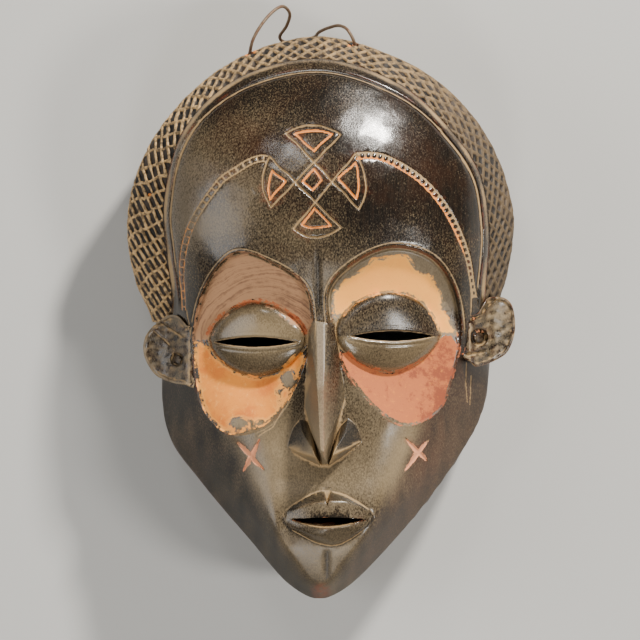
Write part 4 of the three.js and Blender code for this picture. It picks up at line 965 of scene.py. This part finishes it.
ears = {
    "left": {
        "outline": [(-54, -3), (-58.7, -3.8), (-60.4, -2), (-62.7, 0.2), (-65.8, 1), (-68.4, 0.2),
                    (-71.2, -1.6), (-74.3, -4.2), (-77.4, -8.3), (-78.5, -12.8), (-78.1, -17.1),
                    (-76.3, -21.4), (-73.2, -25.6), (-68.7, -28.1), (-63.8, -29.5), (-59.6, -30),
                    (-56, -31.2), (-54, -20)],
        "centre": (-66.0, -15.0), "top": 51.4, "lean": 0.2235, "hinge": -57.7, "rise": 10.5,
        "faceLine": -57.9, "rimWear": 0.0, "rimSheen": 0.4, "sheenSpots": [],
        "knob": (-63.4, -18.8), "knobSize": 2.1, "knobRise": 2.1, "pitSize": 3.4, "pitDepth": 1.6,
        "fold": [(-75.5, -4), (-70.3, -2.6), (-66.6, -4.6), (-63.4, -6.8)], "foldDrop": 1.5, "foldSide": -1,
        "crease": [(-73.6, -6.5), (-69, -10.2), (-64.6, -14.4)], "creaseWidth": 0.9, "creaseDepth": 0.6,
    },
    "right": {
        "outline": [(62, -2), (66, 0.5), (69.8, 1.6), (72, 4.6), (74.6, 8.4), (79, 8.9), (82.2, 8.4),
                    (84.9, 6), (86.3, 1.8), (86.7, -5.6), (85.4, -11.3), (82.6, -16.3), (77.6, -19.4),
                    (73, -21.2), (68.8, -21.9), (66.4, -19.8), (62, -17)],
        "centre": (75.0, -6.5), "top": 49.8, "lean": -0.2235, "hinge": 66.4, "rise": 10.0,
        "faceLine": 66.4, "rimWear": 0.3, "rimSheen": 0.0, "sheenSpots": [((80, 1), (6, 8), 0.3)],
        "knob": (70.5, -9.2), "knobSize": 2.6, "knobRise": 2.4, "pitSize": 4.4, "pitDepth": 3.4,
        "fold": [(69.4, -0.6), (72, 1.1), (76.2, 5.4), (80.4, 8.6)], "foldDrop": 2.0, "foldSide": 1,
        "crease": [(65.6, -16.8), (69, -16.5), (72.6, -15.4)], "creaseWidth": 1.7, "creaseDepth": 1.92,
    },
    "cells": 84, "aspect": 1.2, "curlWidth": 7, "thickness": 9,
    "edgeSteps": [(0.8, 0.25), (2.2, 0.6), (4.2, 1.2), (6.2, 2.2), (7.8, 3.6)],  # down, and inwards
}


def buildEar(side):
    # upper face: the round grid over the ear's outline, a leaning plane that curls up to the face by
    # rise times exp(-t^2), with a raised rim, a fold, a pit and a knob; the edge curves down and in
    ear, cells = ears[side], int(ears["cells"] * fineness)
    reach, turn = roundGrid(cells, cells, ears["aspect"])
    centre = np.array(ear["centre"])
    radius = radiusAbout(ear["outline"], True, centre)(turn)
    x = centre[0] + np.cos(turn) * radius * reach
    y = centre[1] + np.sin(turn) * radius * reach
    plane = ear["top"] + ear["lean"] * (x - ear["hinge"])
    plane = plane + ear["rise"] * bell(x, ear["hinge"], ears["curlWidth"])
    inset = (1 - reach) * radius
    height = plane - 0.75 * smooth(0.9, 1.9, inset) - 0.5 * smooth(1.5, 7, inset)
    height -= 0.5 * np.clip(1 - inset / 0.7, 0, 1) ** 2
    d, foldSide, _, _ = pathDistance(x, y, curvePoints(ear["fold"], False, 30).tolist())
    beyond = smooth(-0.1, 0.5, d * foldSide * ear["foldSide"])
    height += 0.55 * bell(d, 0, 0.6) * (1 - beyond)
    height -= ear["foldDrop"] * beyond * smooth(7, 0.5, d)
    crease = pathDistance(x, y, curvePoints(ear["crease"], False, 16).tolist())[0]
    height -= ear["creaseDepth"] * smooth(ear["creaseWidth"], 0.1, crease)
    away = np.hypot(x - ear["knob"][0], y - ear["knob"][1])
    height -= ear["pitDepth"] * smooth(ear["pitSize"], ear["pitSize"] - 1.2, away)
    knob = np.sqrt(np.clip(1 - (away / ear["knobSize"]) ** 2, 0, 1))
    height += ear["knobRise"] * knob
    height += 0.1 * ripple(x, y, 6, 61) + 0.05 * ripple(x, y, 2.2, 62)

    sunk = settled(height, 6) - height
    onKnob, rimEdge = smooth(0.1, 0.4, knob), smooth(1.3, 0.6, inset)
    dust = np.clip(0.2 + 0.15 * ripple(x, y, 3, 64) + 0.4 * smooth(0.02, 0.15, sunk), 0, 1)
    dust = np.maximum(dust * (1 - 0.8 * onKnob), 0.75 * bell(x, ear["faceLine"], 0.55))
    wear = 0.06 * smooth(0.03, 0.14, -sunk) + ear["rimWear"] * smooth(0.6, 0.1, inset)
    # painted sheen: a lighter rim on the left ear and a light spot on the right ear's blade
    hazeAndSheen = 0.42 + 0.16 * ripple(x, y, 3.5, 63) + ear["rimSheen"] * rimEdge + spots(x, y, ear["sheenSpots"])
    # painted shade in the pit round the knob, in the crease and beside the fold
    paintedShade = smooth(ear["pitSize"], ear["pitSize"] - 0.8, away) * (1 - 0.5 * knob)
    paintedShade = np.clip(paintedShade + 0.8 * smooth(0.8, 0.1, crease) + 0.6 * beyond * smooth(3.5, 0.3, d), 0, 1)
    fields = {"dust": (dust, 0.2), "wear": (wear, 0.1), "paintedShade": (paintedShade, 0.0), "hazeAndSheen": (hazeAndSheen, 0.3),
              "brown": (0.05 + 0.1 * ripple(x, y, 7, 65), 0.3),
              "dull": (0.2 - 0.15 * rimEdge - 0.3 * onKnob, 0.8)}

    top = np.stack([x, y, height], -1)
    edge = top.reshape(-1, 3)[edgeLoop(cells + 1, cells + 1)]
    out = edge[:, :2] - centre
    far = np.linalg.norm(out, axis=1)[:, None]
    rings = [np.column_stack([centre + out * (1 - inwards / far), edge[:, 2] - down])
             for down, inwards in ears["edgeSteps"]]
    parts = closedBelow(top, rings, [*centre, plane.mean() - ears["thickness"]])
    return makeMesh(side + "Ear", *parts, fields)


# the hollow back, the slits and the wire's holes

hollow = {
    "wallAtRim": 8.0, "frontWall": 9.5, "coiffureSquareness": 3.0, "jawSquareness": 5.5,
    "dentHalfWidth": 28.0, "dentHalfHeight": 40.0, "gougeDepth": 0.5, "gougeSize": 9.0,
    "columns": 300, "rings": 130, "roundness": 0.48, "belowRim": -2.0, "slitFrom": 30.0, "slitTo": 110.0,
}


def buildHollow():
    # crest height times (1 - reach^squareness)^roundness, held back behind the sockets; the gouge has left
    # shallow scoops in overlapping rows
    columns, rings = int(hollow["columns"] * fineness), int(hollow["rings"] * fineness)
    turn = np.linspace(0, 2 * math.pi, columns, endpoint=False)[None, :]
    part = np.linspace(0, 1, rings + 1)[:, None]
    face = faceRadius(turn) - rimInset(faceCentre[1] + np.sin(turn) * faceRadius(turn))
    upper = smooth(-14, 20, faceCentre[1] + np.sin(turn) * face)
    outer = radiusFromFace(turn) - lattice["rimInset"]
    rim = face + (outer - face) * upper - hollow["wallAtRim"]
    reach = np.sin(part * math.pi / 2)
    x = faceCentre[0] + np.cos(turn) * rim * reach
    y = faceCentre[1] + np.sin(turn) * rim * reach
    dent = np.zeros(x.shape)
    for side in ("left", "right"):
        cx, cy = eyes[side]["centre"]
        over = bell(x, cx, hollow["dentHalfWidth"]) * bell(y, cy, hollow["dentHalfHeight"])
        dent = np.maximum(dent, eyes["depth"] * over)
    crest = along(head["front"], y) - head["sideFall"] * x * x - hollow["frontWall"] - dent
    squareness = hollow["jawSquareness"] + (hollow["coiffureSquareness"] - hollow["jawSquareness"]) * upper
    z = crest * np.clip(1 - reach ** squareness, 0, 1) ** hollow["roundness"]
    row = y / hollow["gougeSize"]
    shift = (x + 3.5 * np.floor(row + 0.3 * ripple(x, y, 40, 71))) / (hollow["gougeSize"] * 0.55)
    scoop = np.abs(np.sin(math.pi * shift)) * (0.4 + 0.6 * np.abs(np.sin(math.pi * row)))
    z = z - hollow["gougeDepth"] * scoop * smooth(1.0, 0.9, reach)
    rimLine = np.stack([x[-1], y[-1], np.full(columns, hollow["belowRim"])], -1)
    grid = np.concatenate([np.stack([x, y, np.broadcast_to(z, x.shape)], -1)[1:], rimLine[None]], 0)
    points = np.vstack([grid.reshape(-1, 3), [[*faceCentre, z[0, 0]], [*faceCentre, hollow["belowRim"]]]])
    index = np.arange(rings * columns + columns).reshape(-1, columns)
    right = np.roll(index, -1, 1)
    quads = np.stack([index[:-1], index[1:], right[1:], right[:-1]], -1).reshape(-1, 4)
    apex, foot = len(points) - 2, len(points) - 1
    caps = np.vstack([np.stack([np.full(columns, apex), index[0], right[0]], -1),
                      np.stack([np.full(columns, foot), right[-1], index[-1]], -1)])
    fields = {"inside": ([], 1.0), "dust": ([], 0.15), "hazeAndSheen": ([], 0.3)}
    return makeMesh("hollow", points, quads, caps, fields)


def buildSlits():
    # three upright prisms, each with a pointed outline of two parabolas
    points, quads, triangles = [], [], []
    half = np.linspace(-1, 1, 33)
    for centre, length, height in ((eyes["left"]["slit"], eyes["slitLength"], eyes["slitHeight"]),
                                   (eyes["right"]["slit"], eyes["slitLength"], eyes["slitHeight"]),
                                   (mouth["slitCentre"], mouth["slitLength"], mouth["slitHeight"])):
        lower = np.column_stack([half * length / 2, -height / 2 * (1 - half ** 2)])
        ring = np.vstack([lower, -lower[1:-1]]) + centre
        start = sum(len(p) for p in points)
        count = len(ring)
        for z in (hollow["slitFrom"], hollow["slitTo"]):
            points.append(np.column_stack([ring, np.full(count, z)]))
        points.append(np.array([[*centre, hollow["slitFrom"]], [*centre, hollow["slitTo"]]]))
        a = np.arange(count) + start
        quads.append(bandFaces(a, a + count))
        after, foot = np.roll(a, -1), np.full(count, start + 2 * count)
        triangles.append(np.stack([after, a, foot], -1))
        triangles.append(np.stack([a + count, after + count, foot + 1], -1))
    # the walls these cut through the mask carry full painted shade
    return makeMesh("slits", np.vstack(points), np.vstack(quads), np.vstack(triangles),
                    {"paintedShade": ([], 1.0), "dull": ([], 1.0)})


wire = {
    "radius": 0.75, "holeRadius": 1.5, "sides": 14, "holeSides": 24, "steps": 420,
    "holes": [((-30, 123.1, 54), (-36.4, 91.1, 22)), ((14.7, 124.8, 53.8), (21.2, 96, 24.3))],
    "path": [(-34.6, 89.9, 22.2), (-35.9, 93.5, 24.4), (-34.1, 102.7, 33.6), (-32.5, 110.7, 41.6),
             (-31.3, 116.7, 47.6), (-29.7, 123, 52), (-26, 129.6, 52), (-20.7, 135.8, 48.5),
             (-16.4, 138.1, 43), (-13.5, 135.2, 37), (-14.8, 130.2, 30), (-18, 125.4, 20),
             (-15.5, 123.4, 11), (-9, 124, 8), (-3, 125.4, 13), (-0.4, 127.3, 26), (4.3, 128.9, 39),
             (8.7, 129.4, 47), (12, 127.6, 51.5), (14.3, 124, 52), (15.8, 120, 48.9), (17.2, 114, 42.7),
             (18.9, 106, 34.5), (20.7, 97.8, 26.2), (19, 94.5, 23.5)],
}


def tube(path, radii, sides):
    # a round section carried along a path: its frame is turned from step to step by the least angle
    tangent = np.gradient(path, axis=0)
    tangent /= np.linalg.norm(tangent, axis=1)[:, None]
    up = np.cross(tangent[0], [0.3, 0.2, 1.0])
    frames = []
    for t in tangent:
        up = up - t * np.dot(up, t)
        up /= np.linalg.norm(up)
        frames.append(up)
    first = np.array(frames)
    second = np.cross(tangent, first)
    turn = np.linspace(0, 2 * math.pi, sides, endpoint=False)
    section = np.cos(turn)[:, None] * first[:, None] + np.sin(turn)[:, None] * second[:, None]
    points = path[:, None, :] + section * radii[:, None, None]
    index = np.arange(len(path) * sides).reshape(-1, sides)
    right = np.roll(index, -1, 1)
    quads = np.stack([index[:-1], right[:-1], right[1:], index[1:]], -1).reshape(-1, 4)
    flat = np.vstack([points.reshape(-1, 3), path[:1], path[-1:]])
    a, b = len(flat) - 2, len(flat) - 1
    caps = np.vstack([np.stack([np.full(sides, a), right[0], index[0]], -1),
                      np.stack([np.full(sides, b), index[-1], right[-1]], -1)])
    return flat, quads, caps


def buildHoles():
    # one round hole for each end of the wire
    points, quads, triangles, count = [], [], [], 0
    for start, end in wire["holes"]:
        p, q, t = tube(np.linspace(start, end, 3), np.full(3, wire["holeRadius"]), wire["holeSides"])
        points.append(p)
        quads.append(q + count)
        triangles.append(t + count)
        count += len(p)
    return makeMesh("holes", np.vstack(points), np.vstack(quads), np.vstack(triangles),
                    {"inside": ([], 1.0), "dust": ([], 0.3)})


finish = {"mostTriangles": 192000, "sharpFrom": 50}


def applied(piece):
    # the piece's modifiers made part of its mesh; returned with its number of triangles
    mesh = bpy.data.meshes.new_from_object(piece.evaluated_get(bpy.context.evaluated_depsgraph_get()))
    piece.modifiers.clear()
    piece.data = mesh
    mesh.calc_loop_triangles()
    return mesh, len(mesh.loop_triangles)


def buildMask():
    # the block joined with the coiffure and ears, hollowed, pierced, and thinned out
    body = buildFace()
    parts = [(buildCoiffure(), "UNION"), (buildEar("left"), "UNION"), (buildEar("right"), "UNION"),
             (buildHollow(), "DIFFERENCE"), (buildSlits(), "DIFFERENCE"), (buildHoles(), "DIFFERENCE")]
    for part, operation in parts:
        joint = body.modifiers.new(part.name, "BOOLEAN")
        joint.operation, joint.object, joint.solver = operation, part, "MANIFOLD"
    mesh, triangles = applied(body)
    for part, _ in parts:
        bpy.data.objects.remove(part)
    print("mask joined:", triangles, "triangles")
    body.modifiers.new("thin", "DECIMATE").ratio = min(1.0, finish["mostTriangles"] / triangles)
    mesh, triangles = applied(body)
    mesh.shade_smooth()
    mesh.set_sharp_from_angle(angle=math.radians(finish["sharpFrom"]))
    # big faces weigh more, so that those beside a groove keep the shading of the smooth wood
    even = body.modifiers.new("even", "WEIGHTED_NORMAL")
    even.mode, even.keep_sharp = "FACE_AREA", True
    mesh, triangles = applied(body)
    mesh.name = "carvedMask"
    print("mask thinned:", triangles, "triangles")
    return body


def buildWire():
    # its thickness varies by a few hundredths, as rusted wire's does
    path = curvePoints(wire["path"], False, int(wire["steps"] * fineness))
    place = np.arange(len(path))
    radii = wire["radius"] * (0.97 + 0.03 * np.sin(place * 0.37) * np.sin(place * 0.11))
    piece = makeMesh("ironWire", *tube(path, radii, wire["sides"]), {})
    piece.data.shade_smooth()
    return piece


# materials

def shader(name):
    # a new material with one principled surface; returned with the graph to wire it by
    material = bpy.data.materials.new(name)
    material.use_nodes = True
    tree = material.node_tree
    tree.nodes.clear()
    output = tree.nodes.new("ShaderNodeOutputMaterial")
    surface = tree.nodes.new("ShaderNodeBsdfPrincipled")
    tree.links.new(surface.outputs[0], output.inputs[0])
    return material, Graph(tree), surface


class Graph:
    # short words for wiring nodes
    def __init__(self, tree):
        self.tree = tree

    def node(self, kind, **inputs):
        made = self.tree.nodes.new(kind)
        for key, value in inputs.items():
            self.feed(made.inputs[key], value)
        return made

    def feed(self, socket, value):
        if isinstance(value, bpy.types.NodeSocket):
            self.tree.links.new(value, socket)
        else:
            socket.default_value = value

    def field(self, name):
        made = self.tree.nodes.new("ShaderNodeAttribute")
        made.attribute_name = name
        return made.outputs["Fac"]

    def place(self, scale):
        coords = self.tree.nodes.new("ShaderNodeTexCoord")
        mapping = self.tree.nodes.new("ShaderNodeMapping")
        self.feed(mapping.inputs["Vector"], coords.outputs["Object"])
        mapping.inputs["Scale"].default_value = scale
        return mapping.outputs[0]

    def noise(self, scale, size=(1, 1, 1), detail=3.0, roughness=0.55, distortion=0.0):
        made = self.node("ShaderNodeTexNoise", Vector=self.place(size), Scale=scale, Detail=detail,
                         Roughness=roughness, Distortion=distortion)
        return made.outputs[0]

    def math(self, kind, a, b=0.0, clamp=False):
        made = self.tree.nodes.new("ShaderNodeMath")
        made.operation, made.use_clamp = kind, clamp
        self.feed(made.inputs[0], a)
        self.feed(made.inputs[1], b)
        return made.outputs[0]

    def add(self, a, b):
        return self.math("ADD", a, b)

    def times(self, a, b, clamp=False):
        return self.math("MULTIPLY", a, b, clamp)

    def ramp(self, value, low, high):
        made = self.tree.nodes.new("ShaderNodeMapRange")
        made.interpolation_type = "SMOOTHSTEP"
        self.feed(made.inputs["Value"], value)
        made.inputs["From Min"].default_value, made.inputs["From Max"].default_value = low, high
        return made.outputs[0]

    def between(self, value, low, high):
        made = self.tree.nodes.new("ShaderNodeMapRange")
        self.feed(made.inputs["Value"], value)
        made.inputs["To Min"].default_value, made.inputs["To Max"].default_value = low, high
        return made.outputs[0]

    def mix(self, share, a, b):
        made = self.tree.nodes.new("ShaderNodeMix")
        made.data_type = "RGBA"
        self.feed(made.inputs["Factor"], share)
        self.feed(made.inputs[6], a)
        self.feed(made.inputs[7], b)
        return made.outputs[2]

    def mixValue(self, share, a, b):
        made = self.tree.nodes.new("ShaderNodeMix")
        self.feed(made.inputs["Factor"], share)
        self.feed(made.inputs[2], a)
        self.feed(made.inputs[3], b)
        return made.outputs[0]


def tone(red, green, blue):
    # a colour as picked on screen, 0 to 255, to the linear values that the shader takes
    return tuple((c / 255 / 12.92) if c < 10.3 else ((c / 255 + 0.055) / 1.055) ** 2.4
                 for c in (red, green, blue)) + (1.0,)


wood = {
    "dark": tone(33, 25, 18), "darker": tone(15, 12, 9), "hazeAndSheen": tone(138, 120, 91),
    "brown": tone(80, 44, 22), "worn": tone(122, 56, 26), "dust": tone(158, 130, 90),
    "raw": tone(112, 82, 56), "rawDark": tone(70, 50, 35), "scar": tone(208, 140, 102),
    "pink": tone(168, 126, 90), "pinkDark": tone(92, 62, 47), "ochre": tone(204, 126, 58),
    "orange": tone(226, 138, 44), "orangeDeep": tone(208, 114, 36), "orangePale": tone(240, 180, 92),
    "orangeLit": tone(255, 176, 76), "salmon": tone(174, 96, 52), "salmonRed": tone(118, 52, 34),
    "ribTone": tone(196, 160, 108), "ribShade": tone(86, 70, 47), "ribDark": tone(68, 55, 38),
    "pitTone": tone(50, 38, 27), "pitDeep": tone(22, 17, 13),
    "woodRough": 0.17, "paintRough": 0.85, "dustRough": 0.8, "rawRough": 0.7,
}
iron = {"bare": tone(120, 104, 86), "rust": tone(92, 62, 42), "bright": tone(150, 132, 108)}


def woodNoises(g):
    # what breaks up the layers; grain, blotches and specks are drawn out up and down the face
    return SimpleNamespace(
        grain=g.noise(1.0, (1500, 110, 400), 4.0, 0.6), blotch=g.noise(26, (1, 0.6, 1), 4.0, 0.6),
        speck=g.noise(1700, (1, 0.6, 1), 4.0, 0.7), fine=g.noise(2600, (1, 1, 1), 2.0, 0.5),
        patch=g.noise(60, (1, 1, 1), 5.0, 0.6), mottle=g.noise(420, (1, 1, 1), 5.0, 0.7))


def patinaLayers(g, noise):
    # black wood with brown in it, under a film of dust, with painted sheen in it, that breaks up into short
    # upright specks; over them painted shade, worn wood and the dust of the hollows. Also returned: the film
    # and the dust's share.
    base = g.mix(g.ramp(noise.grain, 0.35, 0.7), wood["darker"], wood["dark"])
    brownShare = g.times(g.add(g.field("brown"), g.between(noise.patch, -0.3, 0.3)), 0.8, clamp=True)
    base = g.mix(brownShare, base, wood["brown"])
    filmAndSheen = g.add(g.field("hazeAndSheen"), g.between(noise.blotch, -0.16, 0.16))
    push = g.times(g.between(noise.speck, -1.0, 1.0), g.between(g.ramp(filmAndSheen, 0.2, 0.65), 1.15, 0.55))
    hazeAndSheenShare = g.times(g.ramp(g.add(filmAndSheen, push), 0.08, 1.25), 0.9)
    base = g.mix(hazeAndSheenShare, base, wood["hazeAndSheen"])
    # painted shade: the darker tone laid where the shade field asks, less on the specks
    base = g.mix(g.times(g.field("paintedShade"), g.between(g.ramp(noise.speck, 0.4, 0.62), 1.0, 0.72)), base,
                 wood["darker"])

    wearShare = g.times(g.field("wear"), g.ramp(noise.mottle, 0.3, 0.6), clamp=True)
    base = g.mix(g.times(wearShare, 0.85), base, wood["worn"])
    dustNoise = g.add(g.field("dust"), g.between(noise.mottle, -0.3, 0.3))
    dustShare = g.times(g.ramp(dustNoise, 0.3, 0.85), 0.85)
    base = g.mix(dustShare, base, wood["dust"])
    return base, filmAndSheen, dustShare


def latticeLayer(g, noise, base):
    # ribs of bare wood, painted darker towards the right ear as shade, over dark pits. Also returned: where
    # they lie.
    rib = g.field("rib")
    onLattice = g.ramp(rib, 0.006, 0.03)
    ribTop = g.ramp(g.add(rib, g.between(noise.mottle, -0.15, 0.15)), 0.35, 0.75)
    ribColour = g.mix(g.ramp(noise.mottle, 0.35, 0.62), wood["ribShade"], wood["ribTone"])
    ribColour = g.mix(g.field("hazeAndSheen"), wood["ribDark"], ribColour)
    pitColour = g.mix(g.ramp(noise.patch, 0.4, 0.62), wood["pitDeep"], wood["pitTone"])
    return g.mix(onLattice, base, g.mix(ribTop, pitColour, ribColour)), onLattice


def clayLayers(g, noise, base):
    # each area of clay has its edge broken up by a coarse and a fine noise. Also returned: where it lies.
    flake = g.add(g.between(g.noise(170, (1, 1, 1), 4.0, 0.62), -0.9, 0.9),
                  g.between(g.noise(900, (1, 1, 1), 3.0, 0.6), -0.28, 0.28))
    # the pink was brushed on in strokes round the eye: noise drawn out along them
    wander = g.times(g.noise(90, (1, 1, 1), 3.0, 0.6), 2.2)
    brushed = g.node("ShaderNodeCombineXYZ", X=g.add(g.times(g.field("strokeAcross"), 0.9), wander),
                     Y=g.times(g.field("strokeAlong"), 0.1))
    brush = g.node("ShaderNodeTexNoise", Vector=brushed.outputs[0], Scale=1.0, Detail=4.0, Roughness=0.6)
    stroke = g.ramp(g.add(brush.outputs[0], g.between(noise.mottle, -0.2, 0.2)), 0.45, 0.7)
    pinkColour = g.mix(g.times(stroke, 0.75), wood["pink"], wood["pinkDark"])
    orangeColour = g.mix(g.ramp(noise.patch, 0.42, 0.62), wood["orange"], wood["orangeDeep"])
    orangeColour = g.mix(g.times(g.ramp(noise.mottle, 0.5, 0.8), 0.6), orangeColour, wood["orangePale"])
    redder = g.add(g.noise(170, (1, 1, 1), 6.0, 0.75), g.times(g.field("brown"), 0.16))
    salmonColour = g.mix(g.times(g.ramp(redder, 0.53, 0.68), 0.75), wood["salmon"], wood["salmonRed"])
    salmonColour = g.mix(g.times(g.ramp(noise.mottle, 0.55, 0.75), 0.5), salmonColour, wood["orange"])
    cover = None
    for name, colour in (("pink", pinkColour), ("orange", orangeColour), ("salmon", salmonColour),
                         ("scar", wood["scar"])):
        depth = g.add(g.field(name), flake)
        share = g.ramp(depth, -0.05, 0.18)
        if name == "orange":
            # painted light: where the sheen field is full, as on the right socket's orange, the orange takes
            # a lit tone
            colour = g.mix(g.times(g.ramp(g.field("hazeAndSheen"), 0.85, 1.0), 0.75), colour, wood["orangeLit"])
            colour = g.mix(g.times(g.ramp(depth, 1.3, 0.2), 0.35), colour, wood["orangePale"])
        gritty = g.mix(g.times(g.ramp(noise.speck, 0.6, 0.76), 0.6), colour, wood["pinkDark"])
        base = g.mix(share, base, gritty)
        cover = share if cover is None else g.math("MAXIMUM", cover, share)
    ochreShare = g.ramp(g.add(g.field("ochreLine"), g.between(noise.mottle, -0.3, 0.3)), 0.35, 0.65)
    base = g.mix(ochreShare, base, g.mix(g.ramp(noise.mottle, 0.45, 0.7), wood["ochre"], wood["orange"]))
    cover = g.math("MAXIMUM", cover, ochreShare)
    return base, cover


def woodMaterial():
    # each layer lies over the last by its share, which a field of the mesh gives, broken up by noise
    material, g, surface = shader("maskWood")
    noise = woodNoises(g)
    base, filmAndSheen, dustShare = patinaLayers(g, noise)
    base, onLattice = latticeLayer(g, noise, base)
    base, cover = clayLayers(g, noise, base)

    inside = g.ramp(g.field("inside"), 0.4, 0.9)
    rawColour = g.mix(g.ramp(noise.grain, 0.3, 0.7), wood["rawDark"], wood["raw"])
    rawColour = g.mix(g.ramp(noise.blotch, 0.5, 0.75), rawColour, wood["dark"])
    base = g.mix(inside, base, rawColour)
    g.feed(surface.inputs["Base Color"], base)

    rough = g.between(g.ramp(noise.speck, 0.3, 0.75), wood["woodRough"] - 0.03, wood["woodRough"] + 0.1)
    rough = g.add(rough, g.times(g.ramp(filmAndSheen, 0.15, 1.0), 0.24))
    rough = g.add(rough, g.times(g.field("dull"), 0.38))
    rough = g.mixValue(dustShare, rough, wood["dustRough"])
    rough = g.mixValue(onLattice, rough, wood["rawRough"])
    rough = g.mixValue(cover, rough, wood["paintRough"])
    rough = g.mixValue(inside, rough, wood["rawRough"])
    g.feed(surface.inputs["Roughness"], rough)

    relief = g.add(g.times(noise.grain, 0.3), g.times(noise.speck, 0.9))
    relief = g.add(relief, g.times(noise.fine, 0.3))
    bump = g.node("ShaderNodeBump", Height=relief, Strength=0.12, Distance=0.0003)
    g.feed(surface.inputs["Normal"], bump.outputs[0])
    return material


def wireMaterial():
    # bare metal under patches of rust, with bright specks
    material, g, surface = shader("browned iron")
    rust = g.noise(700, (1, 1, 1), 4.0, 0.6)
    fine = g.noise(2400, (1, 1, 1), 3.0, 0.6)
    colour = g.mix(g.ramp(rust, 0.4, 0.65), iron["bare"], iron["rust"])
    colour = g.mix(g.ramp(fine, 0.6, 0.8), colour, iron["bright"])
    g.feed(surface.inputs["Base Color"], colour)
    g.feed(surface.inputs["Metallic"], g.between(g.ramp(rust, 0.4, 0.65), 0.75, 0.15))
    g.feed(surface.inputs["Roughness"], g.between(rust, 0.45, 0.8))
    bump = g.node("ShaderNodeBump", Height=fine, Strength=0.4, Distance=0.0001)
    g.feed(surface.inputs["Normal"], bump.outputs[0])
    return material


# putting it together

mask = buildMask()
mask.data.materials.clear()
mask.data.materials.append(woodMaterial())
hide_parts("mask")
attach(mask, "root")
print("mask done")

wirePiece = buildWire()
wirePiece.data.materials.append(wireMaterial())
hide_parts("hanging_wire")
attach(wirePiece, "root")
print("wire done")


# floor, light and camera

view = {
    "pixelSize": 0.444, "imageWidth": 640, "middle": (0.0, -1.33), "planeHeight": 48.0,
    "distance": 3500.0, "sensor": 36,
}
ground = {
    "half": 3.0, "below": 0.0002, "dark": (0.4, 0.4, 0.39, 1), "light": (0.43, 0.43, 0.42, 1), "rough": 0.85,
}
# each light: its bearing from the face's right, its height angle, distance, size, power and colour
lights = {
    "key": (61, 31, 1.6, (0.19, 0.14), 56, (1.0, 0.95, 0.87)),
    "coolSide": (-178, 32, 1.5, (1.1, 1.1), 12, (1.0, 0.98, 0.96)),
    "rightSide": (-22, 46, 1.6, (0.3, 0.3), 17, (1.0, 0.96, 0.9)),
    "topFill": (110, 51, 1.9, (0.4, 0.3), 5, (1.0, 0.98, 0.95)),
    "lowFill": (-92, 50, 1.8, (0.5, 0.4), 10, (1.0, 0.97, 0.92)),
}
lightAim = 0.06
sky = {"colour": (0.82, 0.8, 0.77, 1), "strength": 0.16}


def addFloor():
    half = ground["half"]
    mesh = bpy.data.meshes.new("floor")
    corners = [(-half, -half, 0), (half, -half, 0), (half, half, 0), (-half, half, 0)]
    mesh.from_pydata(corners, [], [(0, 1, 2, 3)])
    floor = bpy.data.objects.new("floor", mesh)
    floor.location.z = -ground["below"]
    bpy.context.scene.collection.objects.link(floor)
    material, g, surface = shader("pale floor")
    g.feed(surface.inputs["Base Color"], g.mix(g.noise(3.0), ground["dark"], ground["light"]))
    surface.inputs["Roughness"].default_value = ground["rough"]
    mesh.materials.append(material)


def addLight(name, bearing, height, distance, size, power, colour):
    light = bpy.data.lights.new(name, "AREA")
    light.shape, light.size, light.size_y = "ELLIPSE", size[0], size[1]
    light.energy, light.color = power, colour
    lamp = bpy.data.objects.new(name, light)
    turn, lift = math.radians(bearing), math.radians(height)
    level = math.cos(lift)
    place = Vector((level * math.cos(turn), level * math.sin(turn), math.sin(lift))) * distance
    lamp.location = place + Vector((0, 0, lightAim))
    lamp.rotation_euler = place.to_track_quat("Z", "Y").to_euler()
    bpy.context.scene.collection.objects.link(lamp)


def addCamera():
    # square on from above, framed so that one pixel is one pixel of the photo
    camera = bpy.data.cameras.new("camera")
    wide = view["imageWidth"] * view["pixelSize"]
    camera.sensor_width = view["sensor"]
    camera.lens = view["sensor"] * view["distance"] / wide
    camera.clip_end = 20
    holder = bpy.data.objects.new("camera", camera)
    x, y = np.array(view["middle"]) - drawingMiddle[:2]
    holder.location = (x * mm, y * mm, (view["planeHeight"] + view["distance"]) * mm)
    bpy.context.scene.collection.objects.link(holder)
    bpy.context.scene.camera = holder


addFloor()
for name, settings in lights.items():
    addLight(name, *settings)
world = bpy.data.worlds.new("studio")
world.use_nodes = True
background = world.node_tree.nodes["Background"]
background.inputs[0].default_value, background.inputs[1].default_value = sky["colour"], sky["strength"]
bpy.context.scene.world = world
addCamera()
print("stage done")
